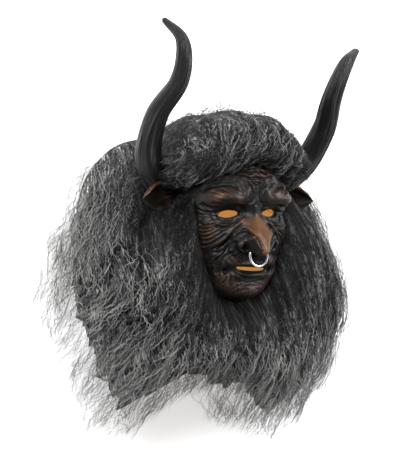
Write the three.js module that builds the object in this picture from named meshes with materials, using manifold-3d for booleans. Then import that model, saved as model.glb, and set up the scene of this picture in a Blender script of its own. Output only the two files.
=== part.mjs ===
// A horned bull-man mask, lying on its back.
// It is a hollow latex head with a cast face and ears, two horns, a nose ring and three masses of crimped hair:
// a forelock between the horns, a mane behind and beside the head, and a beard that fans out from the face's edge.
// Sizes are in millimetres. The mask's own frame has its origin on the head's axis at the height of the eyes:
// +X to the right of someone facing it, +Y to the crown and +Z out of the face.

import * as THREE from "three";
import { mergeVertices } from "three/addons/utils/BufferGeometryUtils.js";
import Module from "manifold-3d";

// Driving dimensions
const AXIS_HEIGHT = 116; // head's axis above the surface that the mask lies on
const WALL = 3; // latex thickness
const GAP = 0.4; // clearance kept between touching pieces
const HAIR_CLEARANCE = 4; // the hair's backing stands this far off the latex
const HEAD_SQUARENESS = 2.9; // exponent of the head's rounded cross-section
const HEAD_CENTRE_Z = -10;
const RIM_Y = -216; // open end of the neck

// Head outline from the crown down: height, half width, front and back
const HEAD_ROWS = [
  [118, 0, -10, -10],
  [115, 24, 18, -40],
  [107, 42, 42, -66],
  [93, 58, 64, -86],
  [72, 70, 80, -98],
  [46, 77, 88, -102],
  [20, 79, 88, -102],
  [-4, 79, 84, -99],
  [-28, 77, 83, -94],
  [-52, 73, 81, -86],
  [-76, 63, 79, -78],
  [-95, 53, 76, -72],
  [-108, 44, 67, -69],
  [-118, 39, 49, -67],
  [-132, 43, 38, -66],
  [-160, 51, 33, -66],
  [-195, 60, 33, -70],
  [RIM_Y, 66, 34, -74],
];
const FACE_TOP_ROW = 5; // the rows between these two hold the face
const CHIN_ROW = 13;

// Forms of the face, mirrored about its centre: place, reach, turn of the reach in degrees, and how far they
// stand out (or sink), spread sideways and droop
const FACE_FORMS = [
  { name: "outer brow", at: [51, 20], reach: [16, 10.5], turn: -4, out: 9, spread: 3, droop: 2 },
  { name: "middle brow", at: [29, 23], reach: [13, 10], turn: 6, out: 6.5, spread: 1, droop: 2 },
  { name: "frown ridge", at: [15, 26], reach: [5, 12], turn: 8, out: 4.5, spread: 0, droop: 0 },
  { name: "temple", at: [66, 24], reach: [12, 18], turn: 0, out: 2, spread: 2, droop: 0 },
  { name: "forehead", at: [0, 53], reach: [20, 9], turn: 0, out: 4, spread: 0, droop: 0 },
  { name: "eye socket", at: [37, 2], reach: [19, 8.5], turn: 0, out: -12, spread: 0, droop: 0 },
  { name: "tear corner", at: [17, 1], reach: [7, 7], turn: 0, out: -3, spread: 0, droop: 0 },
  { name: "eye pouch", at: [37, -11], reach: [15, 5], turn: 4, out: 4, spread: 0, droop: 0 },
  { name: "cheek bone", at: [56, -22], reach: [15, 16], turn: 0, out: 6, spread: 3, droop: 0 },
  { name: "nose fold", at: [34, -25], reach: [20, 4], turn: -44, out: 4, spread: 0, droop: 0 },
  { name: "fold groove", at: [40, -37], reach: [18, 4], turn: -46, out: -4.5, spread: 0, droop: 0 },
  { name: "mouth fold", at: [42, -46], reach: [15, 4.5], turn: -50, out: 4.5, spread: 0, droop: 0 },
  { name: "nose bridge", at: [0, 6], reach: [8.5, 12], turn: 0, out: 4, spread: 0, droop: 0 },
  { name: "upper ridge", at: [0, -13], reach: [13, 10], turn: 0, out: 9, spread: 0, droop: 0 },
  { name: "nose side", at: [10, -26], reach: [6.5, 13], turn: -8, out: 6, spread: 0, droop: 0 },
  { name: "middle ridge", at: [0, -28], reach: [17, 11], turn: 0, out: 20, spread: 0, droop: 0 },
  { name: "nose bulb", at: [0, -42], reach: [13.5, 9.5], turn: 0, out: 27, spread: 0, droop: 9 },
  { name: "nose wing", at: [24, -37], reach: [9.5, 11.5], turn: 0, out: 16, spread: 1, droop: 2 },
  { name: "wing arch", at: [17, -28], reach: [8, 6], turn: 0, out: 5, spread: 0, droop: 0 },
  { name: "nostril", at: [19, -43], reach: [4.5, 5.5], turn: -35, out: -8, spread: 0, droop: 0 },
  { name: "wing crease", at: [37, -40], reach: [4.5, 11], turn: -10, out: -4, spread: 0, droop: 0 },
  { name: "upper lip", at: [24, -61], reach: [14, 8], turn: -20, out: 5, spread: 0, droop: 0 },
  { name: "lips' parting", at: [0, -73], reach: [24, 4], turn: 0, out: -3, spread: 0, droop: 0 },
  { name: "mouth corner", at: [35, -74], reach: [5, 5.5], turn: 0, out: -6, spread: 0, droop: 0 },
  { name: "lower lip", at: [0, -80], reach: [20, 4.5], turn: 0, out: 5.5, spread: 0, droop: 0 },
  { name: "lip groove", at: [0, -88], reach: [18, 4], turn: 0, out: -3, spread: 0, droop: 0 },
  { name: "chin", at: [0, -101], reach: [20, 12], turn: 0, out: 8, spread: 0, droop: 2 },
  { name: "jowl", at: [43, -82], reach: [9, 12], turn: 0, out: 3, spread: 0, droop: 0 },
];
const INNER_EASE = 0.72; // the inside follows a form's rise by this share
const INNER_WIDER = 5; // and its hollow with this much more reach

// Openings through the face
const EYE_INNER = 18.5;
const EYE_OUTER = 45.5;
const EYE_TOP = 5.2;
const EYE_BOTTOM = -4.8;
const EYE_LEAN = -2.8;
const EYE_POINT = 0.7; // how much sharper the outer corner is than the inner one
const MOUTH_HALF = 24;
const MOUTH_TOP = -70.5;
const MOUTH_BOTTOM = -76.5;

// Horns: centreline of the left one, radii along it and how much the section is flattened
const HORN_PATH = [
  [66, 32, -12],
  [96, 42, 4],
  [121, 61, 23],
  [132, 86, 40],
  [134, 123, 67],
  [121, 161, 98],
  [128, 203, 116],
  [153, 228, 112],
];
const HORN_RADII = [18.6, 18.3, 18, 17, 15, 12.4, 9.2, 3.8];
const HORN_FLATTENING = 1.15;

// Ears: centreline from the root to the tip
const EAR_ROOT = new THREE.Vector3(70, 27, 8);
const EAR_TIP = new THREE.Vector3(139, 18, 38);
const EAR_HALF_WIDTH = 20;
const EAR_CUP = 9;
const EAR_WALL = 4;
const EAR_FLOOR_SHARE = 0.4;
const EAR_CLEARANCE = 1.2;

// Nose ring
const RING_Y = -54;
const RING_Z = 96;
const RING_RADIUS = 14;
const RING_WIRE = 1.8;
const RING_TURN_DEG = -11; // it hangs a little askew
const RING_GAP_DEG = 108; // part of the circle left open at the top, where the ends meet the nose

// Mane: its outline on the surface, its height along the outline's spokes and its locks
const MANE_OUTLINE = [
  [0, 131],
  [80, 120],
  [142, 97],
  [215, 52],
  [260, -10],
  [282, -80],
  [286, -150],
  [272, -220],
  [240, -276],
  [190, -306],
  [124, -312],
  [66, -286],
  [28, -248],
  [-12, -233],
  [-50, -235],
  [-80, -262],
  [-96, -296],
  [-120, -306],
  [-148, -288],
  [-164, -254],
  [-174, -218],
  [-192, -196],
  [-208, -166],
  [-216, -126],
  [-212, -78],
  [-202, -25],
  [-187, 12],
  [-170, 54],
  [-144, 84],
  [-110, 106],
  [-66, 118],
];
const MANE_CENTRE = new THREE.Vector2(0, -50);
const MANE_HEIGHT = 106;
const MANE_ROUNDING = 1.75;
const MANE_LOCKS = 20;
const LOCK_DEPTH = 6;

// Beard: its root line along the face's edge, its tips, and the height of both above the head's axis
const BEARD_ROOTS = [
  [-68, 34, 50],
  [-69, 6, 50],
  [-66, -26, 52],
  [-59, -56, 54],
  [-48, -82, 52],
  [-35, -102, 46],
  [-18, -113, 44],
  [0, -116, 44],
  [18, -113, 44],
  [35, -102, 46],
  [48, -82, 52],
  [59, -56, 54],
  [66, -26, 52],
  [69, 6, 50],
  [68, 34, 50],
];
const BEARD_TIPS = [
  [-126, 2, -20],
  [-162, -42, -50],
  [-196, -90, -66],
  [-208, -138, -72],
  [-192, -186, -76],
  [-174, -228, -74],
  [-162, -276, -72],
  [-138, -308, -68],
  [-112, -304, -52],
  [-94, -262, -2],
  [-62, -232, 34],
  [-26, -226, 42],
  [6, -238, 42],
  [36, -280, 24],
  [70, -322, 4],
  [112, -334, -16],
  [162, -332, -40],
  [212, -308, -60],
  [252, -262, -70],
  [276, -196, -72],
  [272, -124, -66],
  [228, -56, -50],
  [148, -8, -20],
];
const BEARD_SWELL = 50;
const BEARD_THIN_ENDS = 0.12; // share of the width at each end where the swell fades, so that the ears stay clear
const BEARD_FLOOR_Z = -96;
const BEARD_PARTING = 28; // the hair below the way into the neck is parted this far down
const BEARD_LOCKS = 15;

// Forelock: a roll of hair between the horns
const FORELOCK_HALF_LENGTH = 108;
const FORELOCK_CENTRE = new THREE.Vector3(0, 88, 18);
const FORELOCK_UP = 51;
const FORELOCK_FORWARD = 101;
const FORELOCK_SAG = 34; // how far its ends drop towards the temples
const HAIRLINE_RISE = 0.35; // the hairline's arch over the forehead: its height and half width
const HAIRLINE_HALF = 24;
const FORELOCK_LOCKS = 9;

const COLOURS = {
  latex: 0x3a2a21,
  horn: 0x1c1c1d,
  hair: 0x3d3d3e,
  ring: 0xc9c9cc,
};

const wasm = await Module();
wasm.setup();

const smooth = (from, to, value) => {
  const s = Math.min(1, Math.max(0, (value - from) / (to - from)));
  return s * s * (3 - 2 * s);
};

// Smooth curve through rows of numbers, at a share from 0 to 1 of its length in rows
function alongRows(rows, share) {
  const last = rows.length - 1;
  const place = Math.min(1, Math.max(0, share)) * last;
  const i = Math.min(last - 1, Math.floor(place));
  const f = place - i;
  const before = rows[i - 1] ?? rows[0].map((v, k) => 2 * v - rows[1][k]);
  const after = rows[i + 2] ?? rows[last].map((v, k) => 2 * v - rows[last - 1][k]);
  return rows[i].map((b, k) => {
    const [a, c, d] = [before[k], rows[i + 1][k], after[k]];
    const square = (2 * a - 5 * b + 4 * c - d) * f * f;
    return 0.5 * (2 * b + (c - a) * f + square + (3 * b - a - 3 * c + d) * f ** 3);
  });
}

// Closed solid from rings of equal length: skin between them, and a fan at each end
function solidFromRings(rings, first = null, last = null) {
  const count = rings[0].length;
  const middle = (ring) =>
    ring.reduce((sum, p) => sum.add(p), new THREE.Vector3()).divideScalar(count);
  const points = [first ?? middle(rings[0]), ...rings.flat(), last ?? middle(rings.at(-1))];
  const end = points.length - 1;
  const faces = [];
  for (let j = 0; j < count; j += 1) {
    const k = (j + 1) % count;
    faces.push([0, 1 + k, 1 + j]);
    for (let i = 0; i < rings.length - 1; i += 1) {
      const a = 1 + i * count;
      const b = a + count;
      faces.push([a + j, a + k, b + k], [a + j, b + k, b + j]);
    }
    const e = end - count;
    faces.push([end, e + j, e + k]);
  }
  return solidFromFaces(points, faces);
}

function solidFromFaces(points, faces) {
  const geometry = new THREE.BufferGeometry().setFromPoints(points);
  geometry.setIndex(faces.flat());
  return solidFromGeometry(geometry);
}

// Merges equal vertices, drops collapsed triangles and turns the faces outwards
function solidFromGeometry(source) {
  const bare = source.index ? source.toNonIndexed() : source.clone();
  for (const name of ["normal", "uv"]) bare.deleteAttribute(name);
  const merged = mergeVertices(bare, 1e-3);
  const position = merged.getAttribute("position");
  let triangles = [];
  for (let i = 0; i < merged.index.count; i += 3) {
    const t = [0, 1, 2].map((k) => merged.index.getX(i + k));
    if (new Set(t).size === 3) triangles.push(t);
  }
  const corners = [0, 1, 2].map(() => new THREE.Vector3());
  const volume = triangles.reduce((sum, t) => {
    t.forEach((v, k) => corners[k].fromBufferAttribute(position, v));
    return sum + corners[0].dot(corners[1].clone().cross(corners[2]));
  }, 0);
  if (volume < 0) triangles = triangles.map(([a, b, c]) => [a, c, b]);
  return new wasm.Manifold(
    new wasm.Mesh({
      numProp: 3,
      vertProperties: new Float32Array(position.array),
      triVerts: new Uint32Array(triangles.flat()),
    }),
  );
}

// The largest body of a solid, without the slivers that a cut leaves
function mainBody(solid) {
  return solid.decompose().reduce((a, b) => (b.volume() > a.volume() ? b : a));
}

function cutBy(solid, ...cutters) {
  return mainBody(cutters.reduce((rest, cutter) => rest.subtract(cutter), solid));
}

function mirrored(solid) {
  return solid.mirror([1, 0, 0]);
}

// Rounded cross-section of the head at a share of its height, seen from an angle that is 0 at the face
function headSection([y, halfWidth, front, back], angle) {
  const s = Math.sin(angle);
  const c = Math.cos(angle);
  const depth = c > 0 ? front - HEAD_CENTRE_Z : HEAD_CENTRE_Z - back;
  const width = Math.max(halfWidth, 0.01);
  const sum =
    Math.abs(s / width) ** HEAD_SQUARENESS +
    Math.abs(c / Math.max(depth, 0.01)) ** HEAD_SQUARENESS;
  const radius = sum ** (-1 / HEAD_SQUARENESS);
  return new THREE.Vector3(radius * s, y, HEAD_CENTRE_Z + radius * c);
}

// Adds the face's forms to a point on the front of the head; the inside gets softer rises and wider hollows
function withFace(point, angle, inside) {
  const facing = smooth(0.12, 0.42, Math.cos(angle));
  const moved = point.clone();
  const side = Math.sign(point.x);
  for (const form of FACE_FORMS) {
    const hollow = form.out < 0;
    const extra = inside && hollow ? INNER_WIDER : 0;
    const turn = THREE.MathUtils.degToRad(form.turn);
    const off = new THREE.Vector2(Math.abs(point.x) - form.at[0], point.y - form.at[1]);
    off.rotateAround(new THREE.Vector2(), -turn);
    const along = off.x / (form.reach[0] + extra);
    const across = off.y / (form.reach[1] + extra);
    const share = facing * Math.exp(-along * along - across * across);
    const ease = inside && !hollow ? INNER_EASE : 1;
    moved.z += form.out * share * ease;
    moved.x += form.spread * share * ease * side;
    moved.y -= form.droop * share * ease ** 3;
  }
  return moved;
}

// Angles round the head, close together on the face and wide apart behind it
function headAngles(onFace, behind) {
  const edge = THREE.MathUtils.degToRad(80);
  const angles = [];
  for (let i = 0; i < onFace; i += 1) {
    const side = -1 + (2 * i) / onFace;
    angles.push(edge * (0.7 * side + 0.3 * side ** 3));
  }
  const rest = 2 * Math.PI - 2 * edge;
  for (let i = 0; i < behind; i += 1) angles.push(edge + (rest * i) / behind);
  return angles;
}

// Shares of the head's height: crown, face and neck, with a chosen number of steps each
function headShares(crown, face, neck) {
  const last = HEAD_ROWS.length - 1;
  const shares = [];
  for (let i = 1; i <= crown; i += 1) shares.push((FACE_TOP_ROW * i) / crown / last);
  const faceRows = CHIN_ROW - FACE_TOP_ROW;
  for (let i = 1; i <= face; i += 1) {
    shares.push((FACE_TOP_ROW + (faceRows * i) / face) / last);
  }
  const neckRows = last - CHIN_ROW;
  for (let i = 1; i <= neck; i += 1) shares.push((CHIN_ROW + (neckRows * i) / neck) / last);
  return shares;
}

// Solid head, moved in or out along its own normals by a distance
function headSolid(angles, shares, grow, pastRim = 0) {
  const rings = shares.map((share) => {
    const row = alongRows(HEAD_ROWS, share);
    return angles.map((angle) => withFace(headSection(row, angle), angle, grow < 0));
  });
  const crown = new THREE.Vector3(0, HEAD_ROWS[0][0] + grow, HEAD_CENTRE_Z);
  const moved = rings.map((ring, i) =>
    ring.map((point, j) => {
      const count = ring.length;
      const across = ring[(j + 1) % count].clone().sub(ring[(j + count - 1) % count]);
      const above = i > 0 ? rings[i - 1][j] : crown;
      const below = rings[Math.min(i + 1, rings.length - 1)][j];
      const normal = across.cross(above.clone().sub(below)).normalize();
      return point.clone().addScaledVector(normal, grow);
    }),
  );
  if (pastRim) moved.push(moved.at(-1).map((p) => p.clone().setY(RIM_Y - pastRim)));
  else moved.push(moved.pop().map((p) => p.setY(RIM_Y)));
  return solidFromRings(moved, crown);
}

// Prism through the face, from an outline drawn on the face's plan
function faceCut(outline) {
  const depth = 90;
  const shape = new THREE.Shape(outline.map(([x, y]) => new THREE.Vector2(x, y)));
  const geometry = new THREE.ExtrudeGeometry(shape, { depth, bevelEnabled: false });
  geometry.translate(0, 0, 30);
  return solidFromGeometry(geometry);
}

// Almond outline: the top and bottom edges bow out from corner to corner, and the right corner may be sharper
function almond(left, right, top, bottom, middle, lean, point) {
  const steps = 8;
  const outline = [];
  for (let i = 0; i < 2 * steps; i += 1) {
    const angle = (Math.PI * i) / steps;
    const x = (left + right) / 2 - ((right - left) / 2) * Math.cos(angle);
    const edge = angle < Math.PI ? bottom - middle : top - middle;
    const share = (x - left) / (right - left);
    const rise = edge * Math.abs(Math.sin(angle)) ** (0.8 + point * share);
    outline.push([x, middle + rise + lean * share]);
  }
  return outline;
}

// Leaf of the ear, cupped forwards; a grown and filled one clears its neighbours
function earSolid(grow, cupped = true) {
  const along = EAR_TIP.clone().sub(EAR_ROOT).normalize();
  const forward = new THREE.Vector3(0.28, -0.12, 1);
  forward.addScaledVector(along, -forward.dot(along)).normalize();
  const up = forward.clone().cross(along).normalize();
  const steps = 7;
  const arc = 4;
  const rings = [];
  for (let i = 0; i <= steps; i += 1) {
    const s = i / steps;
    const centre = EAR_ROOT.clone().lerp(EAR_TIP, s);
    const taper = 1 - Math.max(0, (s - 0.5) / 0.5) ** 2.2;
    const width = EAR_HALF_WIDTH * (0.62 + 0.38 * smooth(0, 0.4, s)) * taper + grow + 0.4;
    const cup = EAR_CUP * (0.75 + 0.25 * smooth(0, 0.4, s)) * taper + grow + 0.4;
    const hollow = cupped ? smooth(0.1, 0.35, s) * (1 - smooth(0.9, 1, s)) : 0;
    const wall = THREE.MathUtils.lerp(0.9, (EAR_WALL + 2 * grow) / width, hollow);
    const floor = THREE.MathUtils.lerp(0.9, EAR_FLOOR_SHARE, hollow);
    const ring = [];
    for (let j = -arc; j <= arc; j += 1) {
      const angle = ((j / arc) * 100 * Math.PI) / 180;
      ring.push(
        centre
          .clone()
          .addScaledVector(up, width * Math.sin(angle))
          .addScaledVector(forward, -cup * Math.cos(angle)),
      );
    }
    for (let j = arc; j >= -arc; j -= 1) {
      const angle = ((j / arc) * 96 * Math.PI) / 180;
      const inside = Math.max(0.05, 1 - wall);
      const inner = Math.max(0.05, 1 - floor);
      ring.push(
        centre
          .clone()
          .addScaledVector(up, width * inside * Math.sin(angle))
          .addScaledVector(forward, -cup * inner * Math.cos(angle) + grow),
      );
    }
    rings.push(ring);
  }
  return solidFromRings(rings);
}

// Horn swept along its centreline, with an oval section that narrows to a rounded tip
function hornSolid(grow) {
  const path = new THREE.CatmullRomCurve3(HORN_PATH.map((p) => new THREE.Vector3(...p)));
  const steps = 15;
  const sides = 10;
  const broad = new THREE.Vector3(0.84, 0, 0.54);
  const rings = [];
  for (let i = 0; i <= steps; i += 1) {
    const share = i / steps;
    const [radius] = alongRows(HORN_RADII.map((r) => [r]), share);
    const along = path.getTangent(share);
    const wide = broad.clone().addScaledVector(along, -broad.dot(along)).normalize();
    const thin = along.clone().cross(wide);
    const flat = THREE.MathUtils.lerp(1, HORN_FLATTENING, smooth(0.2, 0.6, share));
    const centre = path.getPoint(share);
    const ring = [];
    for (let j = 0; j < sides; j += 1) {
      const angle = (2 * Math.PI * j) / sides;
      ring.push(
        centre
          .clone()
          .addScaledVector(wide, (radius * flat + grow) * Math.cos(angle))
          .addScaledVector(thin, (radius / flat + grow) * Math.sin(angle)),
      );
    }
    rings.push(ring);
  }
  const tip = path.getPoint(1).addScaledVector(path.getTangent(1), 3 + grow);
  return solidFromRings(rings, null, tip);
}

// Open ring of round wire, hanging in front of the upper lip
function ringSolid() {
  const steps = 16;
  const sides = 6;
  const open = THREE.MathUtils.degToRad(RING_GAP_DEG);
  const start = THREE.MathUtils.degToRad(90 + RING_TURN_DEG) + open / 2;
  const rings = [];
  for (let i = 0; i <= steps; i += 1) {
    const turn = start + ((2 * Math.PI - open) * i) / steps;
    const outward = new THREE.Vector3(Math.cos(turn), Math.sin(turn), 0);
    const centre = outward.clone().multiplyScalar(RING_RADIUS);
    centre.add(new THREE.Vector3(0, RING_Y, RING_Z));
    const ring = [];
    for (let j = 0; j < sides; j += 1) {
      const angle = (2 * Math.PI * j) / sides;
      ring.push(
        centre
          .clone()
          .addScaledVector(outward, RING_WIRE * Math.cos(angle))
          .add(new THREE.Vector3(0, 0, RING_WIRE * Math.sin(angle))),
      );
    }
    rings.push(ring);
  }
  return solidFromRings(rings);
}

// How far the hair's edge stands out at a count of locks: pointed tips with wide notches between them
function tipWave(turn) {
  return 1 - 2 * Math.abs(Math.sin(Math.PI * turn)) ** 0.7;
}

// How high the hair's surface stands: broad rounded locks with narrow grooves between them
function lockWave(turn) {
  return 1 - 2 * Math.abs(Math.sin(Math.PI * turn)) ** 2.5;
}

// Low dome of hair on the surface, cut flat below; without its locks it's the dome that holds them all
function maneSolid(grow, locks = true) {
  const outline = new THREE.SplineCurve(
    [...MANE_OUTLINE, MANE_OUTLINE[0]].map(([x, y]) => new THREE.Vector2(x, y)),
  );
  const spokes = locks ? 60 : 40;
  const shares = [0.35, 0.58, 0.76, 0.88, 0.96, 1];
  const foot = 5;
  const spoke = (i, share, z) => {
    const turn = locks ? (MANE_LOCKS * i) / spokes : 0;
    const edge = outline.getPoint(i / spokes);
    const reach = edge.clone().sub(MANE_CENTRE);
    const outer = smooth(0.3, 0.95, share);
    reach.setLength((reach.length() + LOCK_DEPTH * tipWave(turn) * outer) * share + grow);
    const place = MANE_CENTRE.clone().add(reach);
    const ridge = z > -AXIS_HEIGHT ? 0.6 * LOCK_DEPTH * lockWave(turn) * outer : 0;
    return new THREE.Vector3(place.x, place.y, z + ridge);
  };
  const around = [...Array(spokes).keys()];
  const rings = shares.map((share) => {
    const rise = (1 - share ** MANE_ROUNDING) ** (1 / MANE_ROUNDING);
    const z = -AXIS_HEIGHT + foot + (MANE_HEIGHT - foot) * rise + grow;
    return around.map((i) => spoke(i, share, z));
  });
  rings.push(around.map((i) => spoke(i, 0.985, -AXIS_HEIGHT)));
  const top = new THREE.Vector3(MANE_CENTRE.x, MANE_CENTRE.y, MANE_HEIGHT - AXIS_HEIGHT + grow);
  const under = new THREE.Vector3(MANE_CENTRE.x, MANE_CENTRE.y, -AXIS_HEIGHT);
  return solidFromRings(rings, top, under);
}

// Fan of hair from the face's edge: the top swells between the roots and the tips
function beardSolid() {
  const across = 45;
  const along = 5;
  const top = [];
  for (let i = 0; i <= along; i += 1) {
    const u = i / along;
    const row = [];
    for (let j = 0; j <= across; j += 1) {
      const v = j / across;
      const root = alongRows(BEARD_ROOTS, v);
      const tip = alongRows(BEARD_TIPS, v);
      const outer = smooth(0.1, 0.9, u);
      const reach = u * (1 + 0.035 * tipWave(BEARD_LOCKS * v) * outer);
      const x = THREE.MathUtils.lerp(root[0], tip[0], reach);
      const y = THREE.MathUtils.lerp(root[1], tip[1], reach);
      const full = 0.3 + 0.7 * smooth(0, BEARD_THIN_ENDS, Math.min(v, 1 - v));
      const swell = full * BEARD_SWELL * Math.sin(Math.PI * u ** 0.9) ** 0.9;
      const ridge = 0.7 * LOCK_DEPTH * lockWave(BEARD_LOCKS * v) * outer;
      const z = THREE.MathUtils.lerp(root[2], tip[2], u ** 1.5) + swell + ridge;
      row.push(new THREE.Vector3(x, y, z));
    }
    top.push(row);
  }
  const rings = [];
  for (let j = 0; j <= across; j += 1) {
    const over = top.map((row) => row[j]);
    const under = [over.at(-1), over[0]].map((p) => p.clone().setZ(BEARD_FLOOR_Z));
    rings.push([...over, ...under]);
  }
  return solidFromRings(rings);
}

// Roll of hair over the forehead: rounded slices from horn to horn
function forelockSolid(grow) {
  const slices = 24;
  const sides = 12;
  const rings = [];
  for (let i = 1; i < slices; i += 1) {
    const v = -Math.cos((Math.PI * i) / slices);
    const fullness = (1 - Math.abs(v) ** 3.2) ** (1 / 3.2);
    const drop = FORELOCK_SAG * Math.abs(v) ** 2.2;
    const wave = lockWave(FORELOCK_LOCKS * (v + 1) * 0.5);
    const arch = 1 - HAIRLINE_RISE * Math.exp(-((v * FORELOCK_HALF_LENGTH / HAIRLINE_HALF) ** 2));
    const ring = [];
    for (let j = 0; j < sides; j += 1) {
      const angle = (2 * Math.PI * j) / sides;
      const front = Math.max(0, Math.cos(angle));
      const swell = fullness * (1 + 0.035 * wave * front);
      const upright = Math.sin(angle) < 0 ? FORELOCK_UP * arch : FORELOCK_UP;
      ring.push(
        new THREE.Vector3(
          v * (FORELOCK_HALF_LENGTH + grow),
          FORELOCK_CENTRE.y - drop + (upright * swell + grow) * Math.sin(angle),
          FORELOCK_CENTRE.z + (FORELOCK_FORWARD * swell + grow) * Math.cos(angle) - 22 * v * v,
        ),
      );
    }
    rings.push(ring);
  }
  return solidFromRings(rings);
}

// The way into the neck goes on between the mane and the beard
function neckPassage() {
  const lengths = [0, 45, 120];
  const half = [62, 70, 84];
  const roof = [32, 12, -14];
  const floor = [-62, -70, -84];
  const sides = 20;
  const rings = lengths.map((length, i) => {
    const ring = [];
    for (let j = 0; j < sides; j += 1) {
      const angle = (2 * Math.PI * j) / sides;
      const middle = (roof[i] + floor[i]) / 2;
      const z = middle + ((roof[i] - floor[i]) / 2) * Math.sin(angle);
      ring.push(new THREE.Vector3(half[i] * Math.cos(angle), RIM_Y + 4 - length, z));
    }
    return ring;
  });
  return solidFromRings(rings);
}

const headOutside = headSolid(headAngles(30, 6), headShares(3, 28, 3), 0);
const headNear = headSolid(headAngles(30, 6), headShares(3, 28, 3), GAP, 1);
const headInside = headSolid(headAngles(16, 6), headShares(3, 14, 3), -WALL, 20);
const headClear = headSolid(headAngles(12, 6), headShares(3, 9, 3), HAIR_CLEARANCE, 1);
const eye = faceCut(almond(EYE_INNER, EYE_OUTER, EYE_TOP, EYE_BOTTOM, 0, EYE_LEAN, EYE_POINT));
const mouth = faceCut(almond(-MOUTH_HALF, MOUTH_HALF, MOUTH_TOP, MOUTH_BOTTOM, MOUTH_TOP - 0.5, 0, 0));
const leftEar = earSolid(0).subtract(headInside);
const ears = leftEar.add(mirrored(leftEar));
const shell = mainBody(
  headOutside.subtract(headInside).add(ears).subtract(eye).subtract(mirrored(eye)).subtract(mouth),
);

const leftEarClear = earSolid(EAR_CLEARANCE, false);
const hornLeft = cutBy(hornSolid(0), headNear, leftEarClear);
const hornClear = hornSolid(GAP).add(mirrored(hornSolid(GAP)));
const earClear = leftEarClear.add(mirrored(leftEarClear));
const passage = neckPassage();

const mane = cutBy(maneSolid(0), headClear, hornClear, earClear, passage);
const maneClear = maneSolid(GAP + 2, false);
const forelock = cutBy(forelockSolid(0), headClear, hornClear, earClear, maneClear);
const forelockClear = forelockSolid(GAP);
const beard = cutBy(
  beardSolid(),
  headClear,
  maneClear,
  hornClear,
  earClear,
  forelockClear,
  passage,
  passage.translate(0, 0, -BEARD_PARTING),
);
const ring = cutBy(ringSolid(), headNear);

function mesh(name, solid, colour, roughness, metalness) {
  const { vertProperties, triVerts } = solid.getMesh();
  const geometry = new THREE.BufferGeometry();
  geometry.setAttribute("position", new THREE.BufferAttribute(vertProperties, 3));
  geometry.setIndex(new THREE.BufferAttribute(triVerts, 1));
  const material = new THREE.MeshStandardMaterial({ color: colour, roughness, metalness });
  const made = new THREE.Mesh(geometry, material);
  made.name = name;
  return made;
}

const mask = new THREE.Group();
mask.add(
  mesh("mask_shell", shell, COLOURS.latex, 0.5, 0),
  mesh("horn_left", hornLeft, COLOURS.horn, 0.45, 0),
  mesh("horn_right", mirrored(hornLeft), COLOURS.horn, 0.45, 0),
  mesh("nose_ring", ring, COLOURS.ring, 0.25, 1),
  mesh("forelock", forelock, COLOURS.hair, 0.8, 0),
  mesh("mane", mane, COLOURS.hair, 0.8, 0),
  mesh("beard", beard, COLOURS.hair, 0.8, 0),
);

// The origin is on the surface that the mask lies on, under the head's axis at the height of the eyes
mask.position.z = AXIS_HEIGHT;

export default mask;
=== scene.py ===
import math

import bpy
import numpy as np
from mathutils import Matrix


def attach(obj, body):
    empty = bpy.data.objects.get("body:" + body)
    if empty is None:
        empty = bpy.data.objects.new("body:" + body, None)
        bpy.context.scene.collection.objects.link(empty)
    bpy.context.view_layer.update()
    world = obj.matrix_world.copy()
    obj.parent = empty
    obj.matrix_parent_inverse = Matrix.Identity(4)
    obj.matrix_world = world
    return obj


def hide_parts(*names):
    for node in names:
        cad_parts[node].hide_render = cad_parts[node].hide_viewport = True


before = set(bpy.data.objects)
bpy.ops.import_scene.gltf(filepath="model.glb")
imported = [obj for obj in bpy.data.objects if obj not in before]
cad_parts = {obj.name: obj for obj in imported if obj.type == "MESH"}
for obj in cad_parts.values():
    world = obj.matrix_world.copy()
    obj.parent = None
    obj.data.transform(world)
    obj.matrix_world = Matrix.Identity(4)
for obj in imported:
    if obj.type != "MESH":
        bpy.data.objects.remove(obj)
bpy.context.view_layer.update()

bl_info = {
    "name": "Horned mask",
    "version": (1, 0, 0),
    "blender": (4, 5, 0),
    "location": "3D View > Sidebar > Mask",
    "description": "Builds a horned bull-man mask of cast latex with crimped hair, lying on its back",
    "category": "Object",
}

# Shape of the object, in millimetres and degrees
# The mask's own frame: origin on the head's axis at eye height, +X to the right of someone facing it,
# +Y to the crown and +Z out of the face. The part's frame is the same one, moved up by AXIS_HEIGHT.

AXIS_HEIGHT = 116.0
FLOOR_Z = -AXIS_HEIGHT

HEAD_SQUARENESS = 2.9
HEAD_CENTRE_Z = -10.0
RIM_Y = -216.0

# Head outline from the crown down: height, half width, front and back
HEAD_ROWS = np.array([
    [118, 0, -10, -10], [115, 24, 18, -40], [107, 42, 42, -66], [93, 58, 64, -86], [72, 70, 80, -98],
    [46, 77, 88, -102], [20, 79, 88, -102], [-4, 79, 84, -99], [-28, 77, 83, -94], [-52, 73, 81, -86],
    [-76, 63, 79, -78], [-95, 53, 76, -72], [-108, 44, 67, -69], [-118, 39, 49, -67],
    [-132, 43, 38, -66], [-160, 51, 33, -66], [-195, 60, 33, -70], [-216, 66, 34, -74],
], float)
FACE_TOP_ROW = 4
CHIN_ROW = 13

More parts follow.
